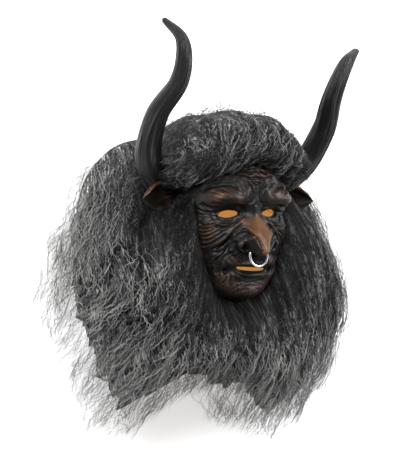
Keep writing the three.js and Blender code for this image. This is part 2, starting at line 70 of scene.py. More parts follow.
# Forms of the face, mirrored about its centre: x, y, reach along, reach across, turn in degrees, and how far
# each stands out, spreads sideways and droops
FACE_FORMS = np.array([
    [51, 20, 16, 10.5, -4, 9, 3, 2], [29, 23, 13, 10, 6, 6.5, 1, 2], [15, 26, 5, 12, 8, 4.5, 0, 0],
    [66, 24, 12, 18, 0, 2, 2, 0], [0, 53, 20, 9, 0, 4, 0, 0], [37, 2, 19, 8.5, 0, -12, 0, 0],
    [17, 1, 7, 7, 0, -3, 0, 0], [37, -11, 15, 5, 4, 4, 0, 0], [56, -22, 15, 16, 0, 6, 3, 0],
    [34, -25, 20, 4, -44, 4, 0, 0], [40, -37, 18, 4, -46, -4.5, 0, 0],
    [42, -46, 15, 4.5, -50, 4.5, 0, 0], [0, 6, 8.5, 12, 0, 4, 0, 0], [0, -13, 13, 10, 0, 9, 0, 0],
    [0, -28, 17, 11, 0, 20, 0, 0], [0, -42, 13.5, 9.5, 0, 27, 0, 9], [24, -37, 9.5, 11.5, 0, 16, 1, 2],
    [17, -28, 8, 6, 0, 5, 0, 0], [20, -41, 3.2, 5.5, -28, -8, 0, 0], [10, -26, 6.5, 13, -8, 6, 0, 0],
    [37, -40, 4.5, 11, -10, -4, 0, 0], [24, -61, 14, 8, -20, 5, 0, 0], [0, -73, 24, 4, 0, -3, 0, 0],
    [35, -74, 5, 5.5, 0, -6, 0, 0], [0, -80, 20, 4.5, 0, 5.5, 0, 0], [0, -88, 18, 4, 0, -3, 0, 0],
    [0, -101, 20, 12, 0, 8, 0, 4], [43, -82, 9, 12, 0, 3, 0, 0],
], float)

# Narrow forms that only the finished skin has, in the same columns
SKIN_FORMS = np.array([
    [46, -55, 14, 3, -52, -2.0, 0, 0], [0, -62, 6, 6, 0, -1.5, 0, 0], [10, -66.5, 18, 3, 0, 2.2, 0, 0],
    [7, 26, 2.6, 9, -8, 1.5, 0, 0], [19.5, -40, 3.2, 4.2, -30, -5, 0, 0],
    [13, -36, 6, 9, -25, 4.5, 2.5, 0], [19, -46.5, 10, 3.4, -8, 7, 0, 0], [28, -38, 3.2, 8, 8, 4, 0, 0],
    [15, -29, 8, 2.6, -42, 3, 0, 0], [0, -79, 22, 4, 0, 2.5, 0, 0], [48, 28, 15, 6.5, -8, 4.0, 1, 0],
    [26, 33, 9, 6, 10, 2.5, 0, 0], [50, 21, 15, 6, -6, 2.5, 0, 0], [27, 18, 10, 5, 14, 2.0, 0, 0],
    [35, -75.5, 3.2, 3.6, 0, -3.5, 0, 0],
], float)

# Creases of the skin, mirrored too: points along each, its half width and its depth
CREASES = [
    ([(0, 35), (0.3, 26), (0, 18), (0.5, 9)], 1.1, 2.8),
    ([(15, 42.5), (11, 37), (8, 32), (5.6, 26.4), (5.5, 20.4), (6.5, 16.3), (12, 11.5)], 1.5, 3.4),
    ([(0, 36), (7, 39.5), (14, 46)], 1.2, 1.6),
    ([(0, 46), (9, 45), (20, 48.5), (30, 47)], 1.3, 2.2),
    ([(0, 53), (6, 54.5), (12, 52), (22, 55), (34, 52)], 1.4, 3.0),
    ([(0, 60), (8, 59), (15, 61.5), (26, 61)], 1.3, 2.6),
    ([(62, 30), (52, 25.5), (41, 23)], 0.9, 1.0),
    ([(65, 25), (55, 20), (44, 17.5)], 0.9, 1.0),
    ([(51, 33), (43, 28.5), (36, 22)], 0.9, 1.0),
    ([(67, 28), (60, 34), (50, 37), (38, 37), (29, 32), (21.5, 28.5)], 1.8, 1.5),
    ([(33, 39), (27.5, 34.5), (22.5, 29), (24.5, 22)], 1.5, 1.6),
    ([(67, 17.5), (64, 11), (58, 7.6), (49, 9.4), (40.7, 11.8), (29.4, 12), (22, 10),
      (14, 7.5)], 1.6, 3.2),
    ([(58.7, 2.3), (51.6, 2.6), (44.2, 6), (38.4, 8.6), (31.3, 9.6), (22, 7.6)], 0.9, 1.3),
    ([(69, 13.5), (63.6, 7), (57, 1.8), (51.6, 0.8)], 1.0, 1.6),
    ([(69.3, 6.3), (63.3, 2.3), (56.8, 0)], 0.9, 1.4),
    ([(67.6, -2.4), (61.6, -1.6), (54, -1.6), (49, -2.4)], 1.0, 1.6),
    ([(66.8, -7.2), (62.9, -4.6), (56.6, -3.8)], 0.9, 1.4),
    ([(50, -5), (45.5, -8), (38.5, -9), (27.5, -8), (18.6, -3)], 0.9, 1.4),
    ([(54.8, -6.8), (52, -10.4), (45.3, -13.2), (36.4, -12.8), (26.5, -9.6), (16, -2)], 1.1, 1.7),
    ([(57.2, -8.8), (53.6, -14.4), (46.2, -17.6), (37.4, -16.6), (30.4, -12.4), (19.5, -5.6),
      (13.7, 0.8)], 1.4, 2.3),
    ([(17.5, -8.8), (23.4, -16.8), (31.3, -23.2), (35, -29), (40, -36.5), (47, -41.8),
      (53, -47.5)], 1.8, 3.2),
    ([(67.2, -12), (63.8, -15.2), (57.9, -14.4), (52.8, -12.8)], 1.1, 1.7),
    ([(67.4, -18.4), (63.6, -20), (57.7, -18.6), (51, -16), (45, -14)], 1.2, 2.0),
    ([(66.5, -24.4), (62.7, -24.2), (56.8, -21.6), (48, -17)], 1.2, 2.0),
    ([(65, -29.6), (61, -29.2), (55, -25.8), (46, -19.5)], 1.2, 2.0),
    ([(64, -35), (59.2, -34.6), (53.1, -29.8), (46, -25), (38, -18.5)], 1.2, 2.0),
    ([(65, -40.5), (61.3, -41.6), (55.1, -37.6), (46.7, -31.5), (39, -25)], 1.3, 2.1),
    ([(31.5, -33), (34, -38), (37.6, -43.5), (44.8, -49), (52, -52)], 1.5, 2.8),
    ([(32, -38), (35.6, -45), (41, -50.6), (46.2, -56), (48.2, -62.5), (48.4, -72)], 1.4, 2.2),
    ([(27.9, -45), (30.6, -49), (35.3, -52), (40.8, -56.5), (43.8, -63), (45, -70), (44, -78),
      (40, -85)], 1.3, 2.2),
    ([(31.5, -51.5), (27.5, -56.1), (23.5, -61.8), (20.6, -65.5)], 1.0, 1.7),
    ([(27, -50.8), (22.6, -55.6), (18, -61), (14.9, -64.5)], 1.0, 1.5),
    ([(35.1, -56.5), (32.1, -61), (29.1, -65.5)], 1.0, 1.6),
    ([(39, -61), (36.5, -65.5), (33.5, -69)], 1.0, 1.4),
    ([(40.5, -69), (41, -76), (37, -82)], 1.1, 1.5),
    ([(30.3, -78), (29, -86.2), (28, -96)], 1.2, 1.5),
    ([(26.5, -79), (21.8, -86.2), (19.5, -94.5), (18.7, -102)], 1.2, 1.5),
    ([(33.6, -80), (35.5, -86.2), (38.2, -93)], 1.2, 1.7),
    ([(24, -80), (17.5, -87), (14.5, -95)], 1.0, 1.1),
    ([(2, -90.5), (12, -91.6), (20, -94), (26, -100)], 1.1, 1.0),
    ([(5, -96), (14, -98), (20, -103)], 1.0, 0.8),
    ([(0, -84.5), (11, -83.6), (19.5, -80), (26, -75)], 1.4, 2.0),
    ([(50, -62), (52, -74), (46, -88)], 1.5, 1.3),
    ([(54, -55), (57, -66), (52, -80)], 1.5, 1.2),
    ([(31.2, -31.2), (29.3, -25.6), (23.3, -21.6), (17.4, -20), (14.9, -24), (9.6, -31.2), (6.2, -36.4),
      (4.7, -42.4)], 1.3, 2.8),
    ([(32.2, -31), (32.4, -39), (30, -46), (24, -50.5), (15, -53)], 1.6, 2.6),
]

# Where the orange-brown paint lies, and with less than 0 where the latex is darker, in the eye sockets,
# nostrils, mouth and frown, partly paint and partly painted shade: strength, x, y, reach across and reach up
WARM_SPOTS = np.array([
    [0.35, 54, 22, 16, 10], [0.55, 22, 22, 9, 11], [0.3, 38, 28, 16, 6], [0.6, 8, -99, 24, 15],
    [0.5, 34, -88, 12, 14], [0.5, 56, -26, 14, 18], [0.4, 27, -16, 9, 8], [0.55, 31, -58, 11, 7],
    [0.5, 14, 50, 26, 9], [-0.7, 36, 0, 17, 8], [-1.4, 24, -39, 11, 11], [-0.6, 0, -80, 24, 5],
    [-0.7, 0, -60, 14, 7], [-0.4, 0, 38, 14, 7],
], float)
NOSE_WARMTH = 1.15
EAR_WARMTH = 0.62

# Lower edge of the nose's paint, over the nostril
NOSE_EDGE = np.array([
    [0, -47], [4.7, -42.4], [5.7, -38], [9.6, -31.2], [14.4, -25], [17.4, -20], [23.3, -21.6], [29.3, -25.6],
    [31.2, -31],
])

# Openings: near and far corner, top, bottom, height of the near corner, how far the far one is above it, and
# how sharp it is. The right eye is given mirrored.
EYE_LEFT = (17.6, 47.0, 5.8, -4.4, 0.0, 0.3, 0.4)
EYE_RIGHT = (18.0, 50.5, 5.6, -4.0, 0.0, -3.0, 2.2)
MOUTH = (-25.5, 29.0, -68.4, -73.2, -68.9, -4.4, 0.5)

# Openings are cut above this height only, and the paint at their edges is this dull
FACE_FROM_Z = 30.0
OPENING_DULLNESS = -0.6
CROWN_WALL = 3.0

# Left horn: places along its middle, its radius at each, how oval it becomes, the way its broad side faces,
# its length, and the last share of it that is a rounded cap
HORN_PATH = np.array([
    [66, 32, -12], [96, 42, 4], [121, 61, 23], [132, 86, 40],
    [134, 123, 67], [121, 161, 98], [128, 203, 116], [153, 228, 112],
], float)
HORN_RADII = np.array([18.6, 18.3, 18, 17, 15, 12.4, 9.2, 3.8])
HORN_FLATTENING = 1.15
HORN_BROAD_WAY = np.array([0.84, 0, 0.54])
HORN_LENGTH = 330.0
HORN_CAP_SHARE = 0.015

# Left ear: a dished leaf from root to tip, and the way its front faces
EAR_ROOT = np.array([70.0, 27.0, 8.0])
EAR_TIP = np.array([139.0, 18.0, 38.0])
EAR_HALF_WIDTH = 20.0
EAR_CUP = 9.0
EAR_WALL = 3.2
EAR_FRONT_WAY = np.array([0.28, -0.12, 1.0])
EAR_CLEAR_HALF = 21.0
EAR_BACK_Z = -12.0

# Nose ring, with its gap turned up into the nose
RING_CENTRE = np.array([0.0, -54.0, 96.0])
RING_TURN_DEG = -11.0
RING_GAP_DEG = 108.0

# Mane: a dome inside an outline in plan, and how far its dense part stops short at each point of it
MANE_OUTLINE = np.array([
    [0, 131], [80, 120], [142, 97], [215, 52], [260, -10], [282, -80], [286, -150], [272, -220],
    [240, -276], [190, -306], [124, -312], [66, -286], [28, -248], [-12, -233], [-50, -235], [-80, -262],
    [-96, -296], [-120, -306], [-148, -288], [-164, -254], [-174, -218], [-192, -196], [-208, -166],
    [-216, -126], [-212, -78], [-202, -25], [-187, 12], [-170, 54], [-144, 84], [-110, 106], [-66, 118],
], float)
MANE_INSET = np.array([
    8, 12, 18, 20, 18, 16, 16, 18, 24, 28, 28, 22, 16, 14, 16, 26, 36, 40, 44, 46, 44, 46, 50, 50, 42, 30, 24,
    20, 16, 12, 10,
], float)
MANE_CENTRE = np.array([0.0, -50.0])
MANE_HEIGHT = 106.0
MANE_EDGE = 5.0
MANE_ROUNDING = 1.75
MANE_LOCKS = 20

# Way into the neck: an oval that drops and widens over its length below the rim
WAY_HALF_WIDTH = 62.0
WAY_TOP = 32.0
WAY_FLOOR = -62.0
WAY_LENGTH = 120.0
WAY_WIDENING = 22.0
WAY_DROP = 46.0

# Beard: its roots along the face's edge, its tips, and how far its dense part stops short of each
BEARD_ROOTS = np.array([
    [-68, 34, 50], [-69, 6, 50], [-66, -26, 52], [-59, -56, 54], [-48, -82, 52], [-35, -102, 46],
    [-18, -113, 44], [0, -116, 44], [18, -113, 44], [35, -102, 46], [48, -82, 52], [59, -56, 54],
    [66, -26, 52], [69, 6, 50], [68, 34, 50],
], float)
BEARD_TIPS = np.array([
    [-126, 2, -20], [-162, -42, -50], [-196, -90, -66], [-208, -138, -72], [-192, -186, -76],
    [-174, -228, -74], [-162, -276, -72], [-138, -308, -68], [-112, -304, -52], [-94, -262, -2],
    [-62, -232, 34], [-26, -226, 42], [6, -238, 42], [36, -280, 24], [70, -322, 4], [112, -334, -16],
    [162, -332, -40], [212, -308, -60], [252, -262, -70], [276, -196, -72], [272, -124, -66],
    [228, -56, -50], [148, -8, -20],
], float)
BEARD_INSET = np.array([
    4, 20, 40, 48, 46, 44, 50, 50, 44, 34, 20, 14, 16, 36, 46, 44, 40, 38, 30, 18, 14, 12, 8,
], float)
BEARD_SWELL = 50.0
BEARD_SINK = 14.0
BEARD_THIN_ENDS = 0.12
BEARD_LOCKS = 15

# Forelock: a roll from horn to horn, its lobes, the hairline that rises under it, and how its fibres run
FORELOCK_HALF_LENGTH = 108.0
FORELOCK_CENTRE = np.array([0.0, 88.0, 18.0])
FORELOCK_UP = 51.0
FORELOCK_FORWARD = 101.0
FORELOCK_SAG = 34.0
FORELOCK_DRAWN_BACK = 22.0
FORELOCK_BEDDING = 1.2
FORELOCK_LOBE = 4.0
FORELOCK_LOBE_SPACING = 50.0
HAIRLINE_RISE = 0.35
HAIRLINE_HALF = 24.0
FORELOCK_LOCKS = 9
FORELOCK_TURN = 80.0
FORELOCK_LEAN = 0.25
FORELOCK_COMB = 0.35

# Where the hair falls from in plan, and how strongly it is pulled down the mask
MANE_FLOW = (np.array([0.0, 175.0]), 0.6)
BEARD_FLOW = (np.array([0.0, 70.0]), 0.48)
TIP_REACH = 15.0

# How far the waves of the locks are moved down, to stay inside the hair's outline, and how far strands lie
# below its even surface
LOCK_SINK = 3.5
STRAND_SINK = 1.5
STRAND_SIDES = 3

# Strands that lie on the hair, and loose ones at its edges: how many start together and how far apart, what
# share of that closes, how far they turn aside in radians, how far past the outline they may end, how far
# short of it they start to, their share of pale ones and how light they are
LAID = {
    "group": 1, "spread": 2.0, "closing": 0.75, "wander": 0.3, "past": 6, "short": 0,
    "pale": 0.34, "tone": 0.9,
}
LOOSE = {
    "group": 5, "spread": 8.0, "closing": 0.5, "wander": 0.2, "past": 24, "short": 6,
    "pale": 0.15, "tone": 0.8,
}
LOOSE_RISE = 36.0

# Places on the plan from which strands may start, and the steps between them: one over the real root of
# x^3 = x + 1, and that squared
SCATTER_STEPS = np.array([0.7548776662, 0.5698402910])
SPOT_COUNT = 40000
SPOTS_LOW = (-232, -345)
SPOTS_HIGH = (300, 150)

# The photograph's camera, in pixels: the picture's size, where the eye line's middle falls, and the lens
PICTURE = (416.0, 461.0)
EYE_LINE_PIXEL = (218.8, 212.9)
FOCAL_PIXELS = 761.4

# Stage, in metres: what camera and lights look at, the floor, and the places and diameters of the lights
STAGE_TARGET = np.array([0.0, 0.0, AXIS_HEIGHT * 0.001])
FLOOR_HALF_SIDE = 6
KEY_PLACE = (-1.1, 0.9, 1.3)
KEY_SIZE = 0.9
FILL_PLACE = (1.2, 0.5, 1.2)
FILL_SIZE = 1.0

LATTICE_SEED = 11
LATTICE_CELLS = 48
LATTICE = np.random.default_rng(LATTICE_SEED).uniform(-1, 1, (LATTICE_CELLS,) * 3)


# Numbers and curves

def smooth(low, high, value):
    """Rises from 0 at low to 1 at high with a level start and end."""
    s = np.clip((value - low) / (high - low), 0, 1)
    return s * s * (3 - 2 * s)


def bell(offset, reach):
    """Falls from 1 to 0 on both sides of no offset: exp(-(offset / reach)^2)."""
    return np.exp(-((offset / reach) ** 2))


def spot(x, y, wide, high):
    """Bell over a plane: exp(-(x / wide)^2 - (y / high)^2)."""
    return np.exp(-((x / wide) ** 2) - (y / high) ** 2)


def along_rows(rows, share):
    """Catmull-Rom curve through the rows; share runs from 0 at the first row to 1 at the last."""
    last = len(rows) - 1
    place = np.clip(share, 0, 1) * last
    i = np.minimum(place.astype(int), last - 1)
    f = (place - i)[..., None]
    p = np.vstack([2 * rows[0] - rows[1], rows, 2 * rows[-1] - rows[-2]])
    a, b, c, d = p[i], p[i + 1], p[i + 2], p[i + 3]
    square = (2 * a - 5 * b + 4 * c - d) * f * f
    return 0.5 * (2 * b + (c - a) * f + square + (3 * b - a - 3 * c + d) * f**3)


def closed_curve(points, count):
    """Catmull-Rom curve through the points and back to the first, at equal shares."""
    rows = np.vstack([points[-2:], points, points[:3]])
    last = len(rows) - 1
    share = (2 + len(points) * np.arange(count) / count) / last
    return along_rows(rows, share)


def cloud(points, cell):
    """Soft noise from -1 to 1: random values on a lattice of that cell, eased from corner to corner."""
    q = np.asarray(points, float) / cell + 17.3
    i = np.floor(q).astype(int)
    f = q - i
    f = f * f * (3 - 2 * f)
    i %= len(LATTICE)
    j = (i + 1) % len(LATTICE)
    total = np.zeros(q.shape[:-1])
    for x, wx in ((i[..., 0], 1 - f[..., 0]), (j[..., 0], f[..., 0])):
        for y, wy in ((i[..., 1], 1 - f[..., 1]), (j[..., 1], f[..., 1])):
            for z, wz in ((i[..., 2], 1 - f[..., 2]), (j[..., 2], f[..., 2])):
                total += LATTICE[x, y, z] * wx * wy * wz
    return total


def unit(vectors):
    """The vectors at length 1."""
    return vectors / (np.linalg.norm(vectors, axis=-1, keepdims=True) + 1e-12)


def inside_outline(xy, outline):
    """True where a ray to the right of the point crosses the closed outline an odd number of times."""
    x, y = xy[..., 0, None], xy[..., 1, None]
    a, b = outline, np.roll(outline, -1, axis=0)
    straddles = (a[:, 1] > y) != (b[:, 1] > y)
    rise = np.where(np.abs(b[:, 1] - a[:, 1]) < 1e-9, 1e-9, b[:, 1] - a[:, 1])
    crossing = a[:, 0] + (y - a[:, 1]) * (b[:, 0] - a[:, 0]) / rise
    return (straddles & (x < crossing)).sum(-1) % 2 == 1


def nearest_on_outline(xy, outline):
    """The outline's point nearest to each point, and how far away it is."""
    a, b = outline, np.roll(outline, -1, axis=0)
    e = b - a
    off = xy[..., None, :] - a
    share = np.clip((off * e).sum(-1) / np.maximum((e * e).sum(-1), 1e-9), 0, 1)
    foot = a + share[..., None] * e
    distance = np.linalg.norm(xy[..., None, :] - foot, axis=-1)
    best = distance.argmin(-1)
    nearest = np.take_along_axis(foot, best[..., None, None], -2)[..., 0, :]
    return nearest, np.take_along_axis(distance, best[..., None], -1)[..., 0]


def near_outline(xy, outline, margin):
    """True inside the outline's box, grown by a margin."""
    return ((xy > outline.min(0) - margin) & (xy < outline.max(0) + margin)).all(-1)


def outside_by(xy, outline):
    """Distance to the outline: more than 0 outside it and less than 0 inside."""
    distance = nearest_on_outline(xy, outline)[1]
    return np.where(inside_outline(xy, outline), -distance, distance)


# Meshes

def grid_faces(rows, columns, wrap=False, start=0):
    """Quads between the neighbours of a grid of vertices, closed across its columns when it wraps."""
    i = np.arange(rows - 1)[:, None] * columns
    j = np.arange(columns if wrap else columns - 1)[None, :]
    k = (j + 1) % columns
    quads = np.stack([i + j, i + k, i + columns + k, i + columns + j], -1)
    return quads.reshape(-1, 4) + start


def fan_faces(ring, middle, turned=False):
    """Triangles from each edge of a closed ring of vertices to a middle one."""
    after = np.roll(ring, -1)
    first, second = (after, ring) if turned else (ring, after)
    return np.stack([first, second, np.full(len(ring), middle)], -1)


def add_piece(name, points, faces, materials, replaces=(), numbers=None, vectors=None, flat=None,
              paint=None):
    """Makes a piece from points in millimetres in the mask's frame and arrays of faces.

    Numbers and vectors are attributes of its points. Flat marks faces that aren't shaded smooth, and paint is
    each face's place in the list of materials.
    """
    mesh = bpy.data.meshes.new(name)
    placed = (points.reshape(-1, 3) + (0, 0, AXIS_HEIGHT)) * 0.001
    sizes = np.concatenate([np.full(len(f), f.shape[1]) for f in faces])
    corners = np.concatenate([f.ravel() for f in faces]).astype(np.int32)
    starts = np.concatenate([[0], np.cumsum(sizes)[:-1]]).astype(np.int32)
    mesh.vertices.add(len(placed))
    mesh.vertices.foreach_set("co", placed.astype(np.float32).ravel())
    mesh.loops.add(len(corners))
    mesh.loops.foreach_set("vertex_index", corners)
    mesh.polygons.add(len(sizes))
    mesh.polygons.foreach_set("loop_start", starts)
    mesh.update(calc_edges=True)
    mesh.polygons.foreach_set("use_smooth", np.ones(len(sizes), bool) if flat is None else ~flat)
    for material in materials:
        mesh.materials.append(material)
    if paint is not None:
        mesh.polygons.foreach_set("material_index", paint.astype(np.int32))
    for key, values in (numbers or {}).items():
        layer = mesh.attributes.new(key, "FLOAT", "POINT")
        layer.data.foreach_set("value", np.asarray(values, np.float32).ravel())
    for key, values in (vectors or {}).items():
        layer = mesh.attributes.new(key, "FLOAT_VECTOR", "POINT")
        layer.data.foreach_set("vector", np.asarray(values, np.float32).ravel())
    if mesh.validate():
        raise RuntimeError(f"{name} has faces that aren't sound")
    piece = bpy.data.objects.new(name, mesh)
    bpy.context.scene.collection.objects.link(piece)
    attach(piece, "root")
    if replaces:
        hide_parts(*replaces)
    return piece


def grid_normals(points, wrap):
    """Unit normals of a grid of points: the cross product of down its rows and across its columns."""
    if wrap:
        across = np.roll(points, -1, axis=1) - np.roll(points, 1, axis=1)
    else:
        across = np.gradient(points, axis=1)
    down = np.gradient(points, axis=0)
    return unit(np.cross(down, across))


# Head

def share_of_height(y):
    """Share down the head's rows at a height: the rows' own curve read backwards."""
    shares = np.linspace(0, 1, 2001)
    heights = along_rows(HEAD_ROWS, shares)[:, 0]
    return np.interp(-np.asarray(y, float), -heights, shares)


def head_section(share, angle):
    """Rounded section of the head: the radius at an angle is where |x/a|^n + |z/b|^n is 1."""
    row = along_rows(HEAD_ROWS, share)
    s, c = np.sin(angle), np.cos(angle)
    width = np.maximum(row[..., 1], 0.01)
    depth = np.where(c > 0, row[..., 2] - HEAD_CENTRE_Z, HEAD_CENTRE_Z - row[..., 3])
    n = HEAD_SQUARENESS
    radius = (np.abs(s / width) ** n + np.abs(c / np.maximum(depth, 0.01)) ** n) ** (-1 / n)
    return np.stack([radius * s, row[..., 0], HEAD_CENTRE_Z + radius * c], -1)


def head_height(x, y, front):
    """Height of the head's front or back over a place on its plan: the section solved for z."""
    row = along_rows(HEAD_ROWS, share_of_height(y))
    n = HEAD_SQUARENESS
    share = np.clip(1 - (np.abs(x) / np.maximum(row[..., 1], 0.01)) ** n, 0, 1) ** (1 / n)
    reach = (row[..., 2] - HEAD_CENTRE_Z) if front else (row[..., 3] - HEAD_CENTRE_Z)
    return HEAD_CENTRE_Z + reach * share


def head_inside(points, grow):
    """Less than 1 where a point is inside the head's rounded section, grown by a distance."""
    row = along_rows(HEAD_ROWS, share_of_height(points[..., 1]))
    z = points[..., 2] - HEAD_CENTRE_Z
    depth = np.where(z > 0, row[..., 2] - HEAD_CENTRE_Z, HEAD_CENTRE_Z - row[..., 3])
    n = HEAD_SQUARENESS
    inside = np.abs(points[..., 0] / np.maximum(row[..., 1] + grow, 0.1)) ** n
    inside = inside + np.abs(z / np.maximum(depth + grow, 0.1)) ** n
    above = np.maximum(points[..., 1] - HEAD_ROWS[0, 0] - grow, 0)
    return inside + above


def face_share(angle):
    """1 over the face and 0 behind it."""
    return smooth(0.12, 0.42, np.cos(angle))


def face_move(points, angle, table, ease=1.0, wider=0.0):
    """Sum of mirrored bell shapes, each moving the skin out, sideways and down.

    Each falls off as exp(-a^2 - b^2), with a and b the distances along and across its own turned axes over
    its reaches. Those that stand out are multiplied by ease, and hollows are made wider.
    """
    x, y = np.abs(points[..., 0]), points[..., 1]
    facing = face_share(angle)
    move = np.zeros_like(points)
    for at_x, at_y, reach, height, turn, out, spread, droop in table:
        c, s = math.cos(math.radians(turn)), math.sin(math.radians(turn))
        hollow = out < 0
        extra = wider if hollow else 0.0
        along = (c * (x - at_x) + s * (y - at_y)) / (reach + extra)
        across = (c * (y - at_y) - s * (x - at_x)) / (height + extra)
        share = facing * np.exp(-along * along - across * across) * (1 if hollow else ease)
        move[..., 2] += out * share
        move[..., 0] += spread * share * np.sign(points[..., 0])
        move[..., 1] -= droop * share
    return move


def crease_depth(x, y):
    """Groove with a soft lip on each side: -exp(-(d/w)^2) + 0.45 exp(-((d-2w)/0.9w)^2) of the distance d."""
    height = np.zeros_like(x)
    ax = np.abs(x)
    for points, width, depth in CREASES:
        line = along_rows(np.array(points, float), np.linspace(0, 1, 24))
        low, high = line.min(0) - 4 * width, line.max(0) + 4 * width
        near = (ax > low[0]) & (ax < high[0]) & (y > low[1]) & (y < high[1])
        p = np.stack([ax[near], y[near]], -1)
        a, e = line[:-1], line[1:] - line[:-1]
        off = p[:, None, :] - a
        share = np.clip((off * e).sum(-1) / (e * e).sum(-1), 0, 1)
        distance = np.linalg.norm(off - share[..., None] * e, axis=-1)
        best = distance.argmin(1)
        d = distance[np.arange(len(p)), best]
        place = (best + share[np.arange(len(p)), best]) / len(a)
        start = 1.0 if points[0][0] == 0 else smooth(0, 0.18, place)
        fade = start * smooth(0, 0.18, 1 - place)
        groove = -np.exp(-((d / width) ** 2)) + 0.45 * np.exp(-(((d - 2 * width) / (0.9 * width)) ** 2))
        height[near] += depth * groove * fade
    return height


def wrinkles(points):
    """Fine folds: level waves on the forehead, crumple on the jaw and temples, and a soft grain all over."""
    x, y = np.abs(points[..., 0]), points[..., 1]
    rough = cloud(points, 9.0)
    fine = cloud(points, 3.2)
    level = np.sin(y * 1.05 + 2.6 * rough) * smooth(34, 22, x) * smooth(38, 43, y)
    jaw = (0.5 - np.abs(cloud(points, 5.0))) * smooth(-50, -66, y) * smooth(26, 40, x)
    brow = np.sin(x * 0.5 + y * 0.3 + 3.5 * rough) * smooth(26, 38, y) * smooth(20, 34, x)
    side = (0.5 - np.abs(cloud(points, 4.2))) * smooth(58, 68, x) * smooth(20, 0, y)
    lid = np.sin(x * 1.5 + y * 2.2 + 2.5 * rough) * spot(x - 36, y + 12, 16, 4.5)
    folds = 0.7 * level + 1.0 * jaw + 0.4 * brow + 0.9 * side + 0.35 * lid
    return folds + 0.3 * rough * smooth(10, 22, x) + 0.2 * fine * smooth(6, 20, x)


def eye_rims(points):
    """Raised rim 1.7 mm out from the edge of each eye, and a groove 4.4 mm out from it, each a bell."""
    rim = np.zeros(points.shape[:-1])
    place = points[..., :2]
    for outline in openings()[:2]:
        near = near_outline(place, outline, 8) & (points[..., 2] > 0)
        away = outside_by(place[near], outline)
        rim[near] = 1.5 * bell(away - 1.7, 1.3) - 0.9 * bell(away - 4.4, 1.1)
    return rim


def warmth(x, y):
    """Orange-brown paint on nose, brows, cheeks and chin; round the eyes, in the nostrils and on the lips it
    is darker, partly paint and partly painted shade.
    """
    nose = smooth(-0.5, 1.5, y - np.interp(x, *NOSE_EDGE.T)) * smooth(4, -9, y) * smooth(25, 18, x)
    warm = NOSE_WARMTH * nose
    for strength, at_x, at_y, wide, high in WARM_SPOTS:
        warm = warm + strength * spot(x - at_x, y - at_y, wide, high)
    return np.clip(warm, -0.5, 1.2)


def opening(left, right, top, bottom, middle, lean, point, count=48):
    """Almond outline: each edge bows from corner to corner by |sin|^0.8, sharper towards the right corner."""
    angle = 2 * np.pi * np.arange(count) / count
    x = (left + right) / 2 - (right - left) / 2 * np.cos(angle)
    edge = np.where(angle < np.pi, bottom - middle, top - middle)
    share = (x - left) / (right - left)
    y = middle + edge * np.abs(np.sin(angle)) ** (0.8 + point * share) + lean * share
    return np.stack([x, y], -1)


def openings():
    """Outlines of the two eyes and the mouth."""
    return [opening(*EYE_LEFT), opening(*EYE_RIGHT) * (-1, 1), opening(*MOUTH)]


def softened(values, rounds):
    """Values on a grid that wraps, averaged with their neighbours again and again."""
    for _ in range(rounds):
        values = (np.roll(values, 1, 1) + 2 * values + np.roll(values, -1, 1)) / 4
        padded = np.vstack([values[:1], values, values[-1:]])
        values = (padded[:-2] + 2 * padded[1:-1] + padded[2:]) / 4
    return values


def head_grid(on_face, behind, crown, face, neck):
    """Angles round the head and shares down it, with its counts of steps, close together over the face."""
    edge = math.radians(82)
    side = -1 + 2 * np.arange(on_face) / on_face
    angles = np.concatenate([
        edge * (0.86 * side + 0.14 * side**3),
        edge + (2 * math.pi - 2 * edge) * np.arange(behind) / behind,
    ])
    last = len(HEAD_ROWS) - 1
    shares = np.concatenate([
        FACE_TOP_ROW * np.arange(1, crown + 1) / crown,
        FACE_TOP_ROW + (CHIN_ROW - FACE_TOP_ROW) * np.arange(1, face + 1) / face,
        CHIN_ROW + (last - CHIN_ROW) * np.arange(1, neck + 1) / neck,
    ]) / last
    return np.meshgrid(angles, shares)


def head_normals(points):
    """Normals of a form of the head, pointing away from its axis."""
    normal = grid_normals(points, True)
    return normal * np.sign((normal * (points - (0, 0, HEAD_CENTRE_Z))).sum(-1, keepdims=True).mean())


def shell_surfaces(wall):
    """Outer and inner walls of the head on one grid, how far the skin stands proud and how warm it is.

    The outer wall has the forms of the face, and along its normal the creases, wrinkles and rims. The inner
    wall has softer forms and lies a wall's thickness inside them.
    """
    angle, share = head_grid(on_face=162, behind=22, crown=7, face=202, neck=11)
    base = head_section(share, angle)
    formed = base + face_move(base, angle, FACE_FORMS) + face_move(base, angle, SKIN_FORMS)
    facing = face_share(angle)
    relief = crease_depth(base[..., 0], base[..., 1]) + wrinkles(base) + eye_rims(base)
    outer = formed + head_normals(formed) * (relief * facing)[..., None]
    eased = base + face_move(base, angle, FACE_FORMS, ease=0.72, wider=5.0)
    inner = eased - head_normals(eased) * wall
    inner[-1, :, 1] = RIM_Y
    outer[-1, :, 1] = RIM_Y
    swell = (formed - base)[..., 2]
    # Proud also sets the paint: lighter on what stands proud and darker in the creases, the darkening partly
    # paint and partly painted shade.
    proud = (swell - softened(swell, 60)) * 0.12 + relief * 0.24
    warm = warmth(np.abs(base[..., 0]), base[..., 1])
    return outer, inner, proud * facing, warm * facing


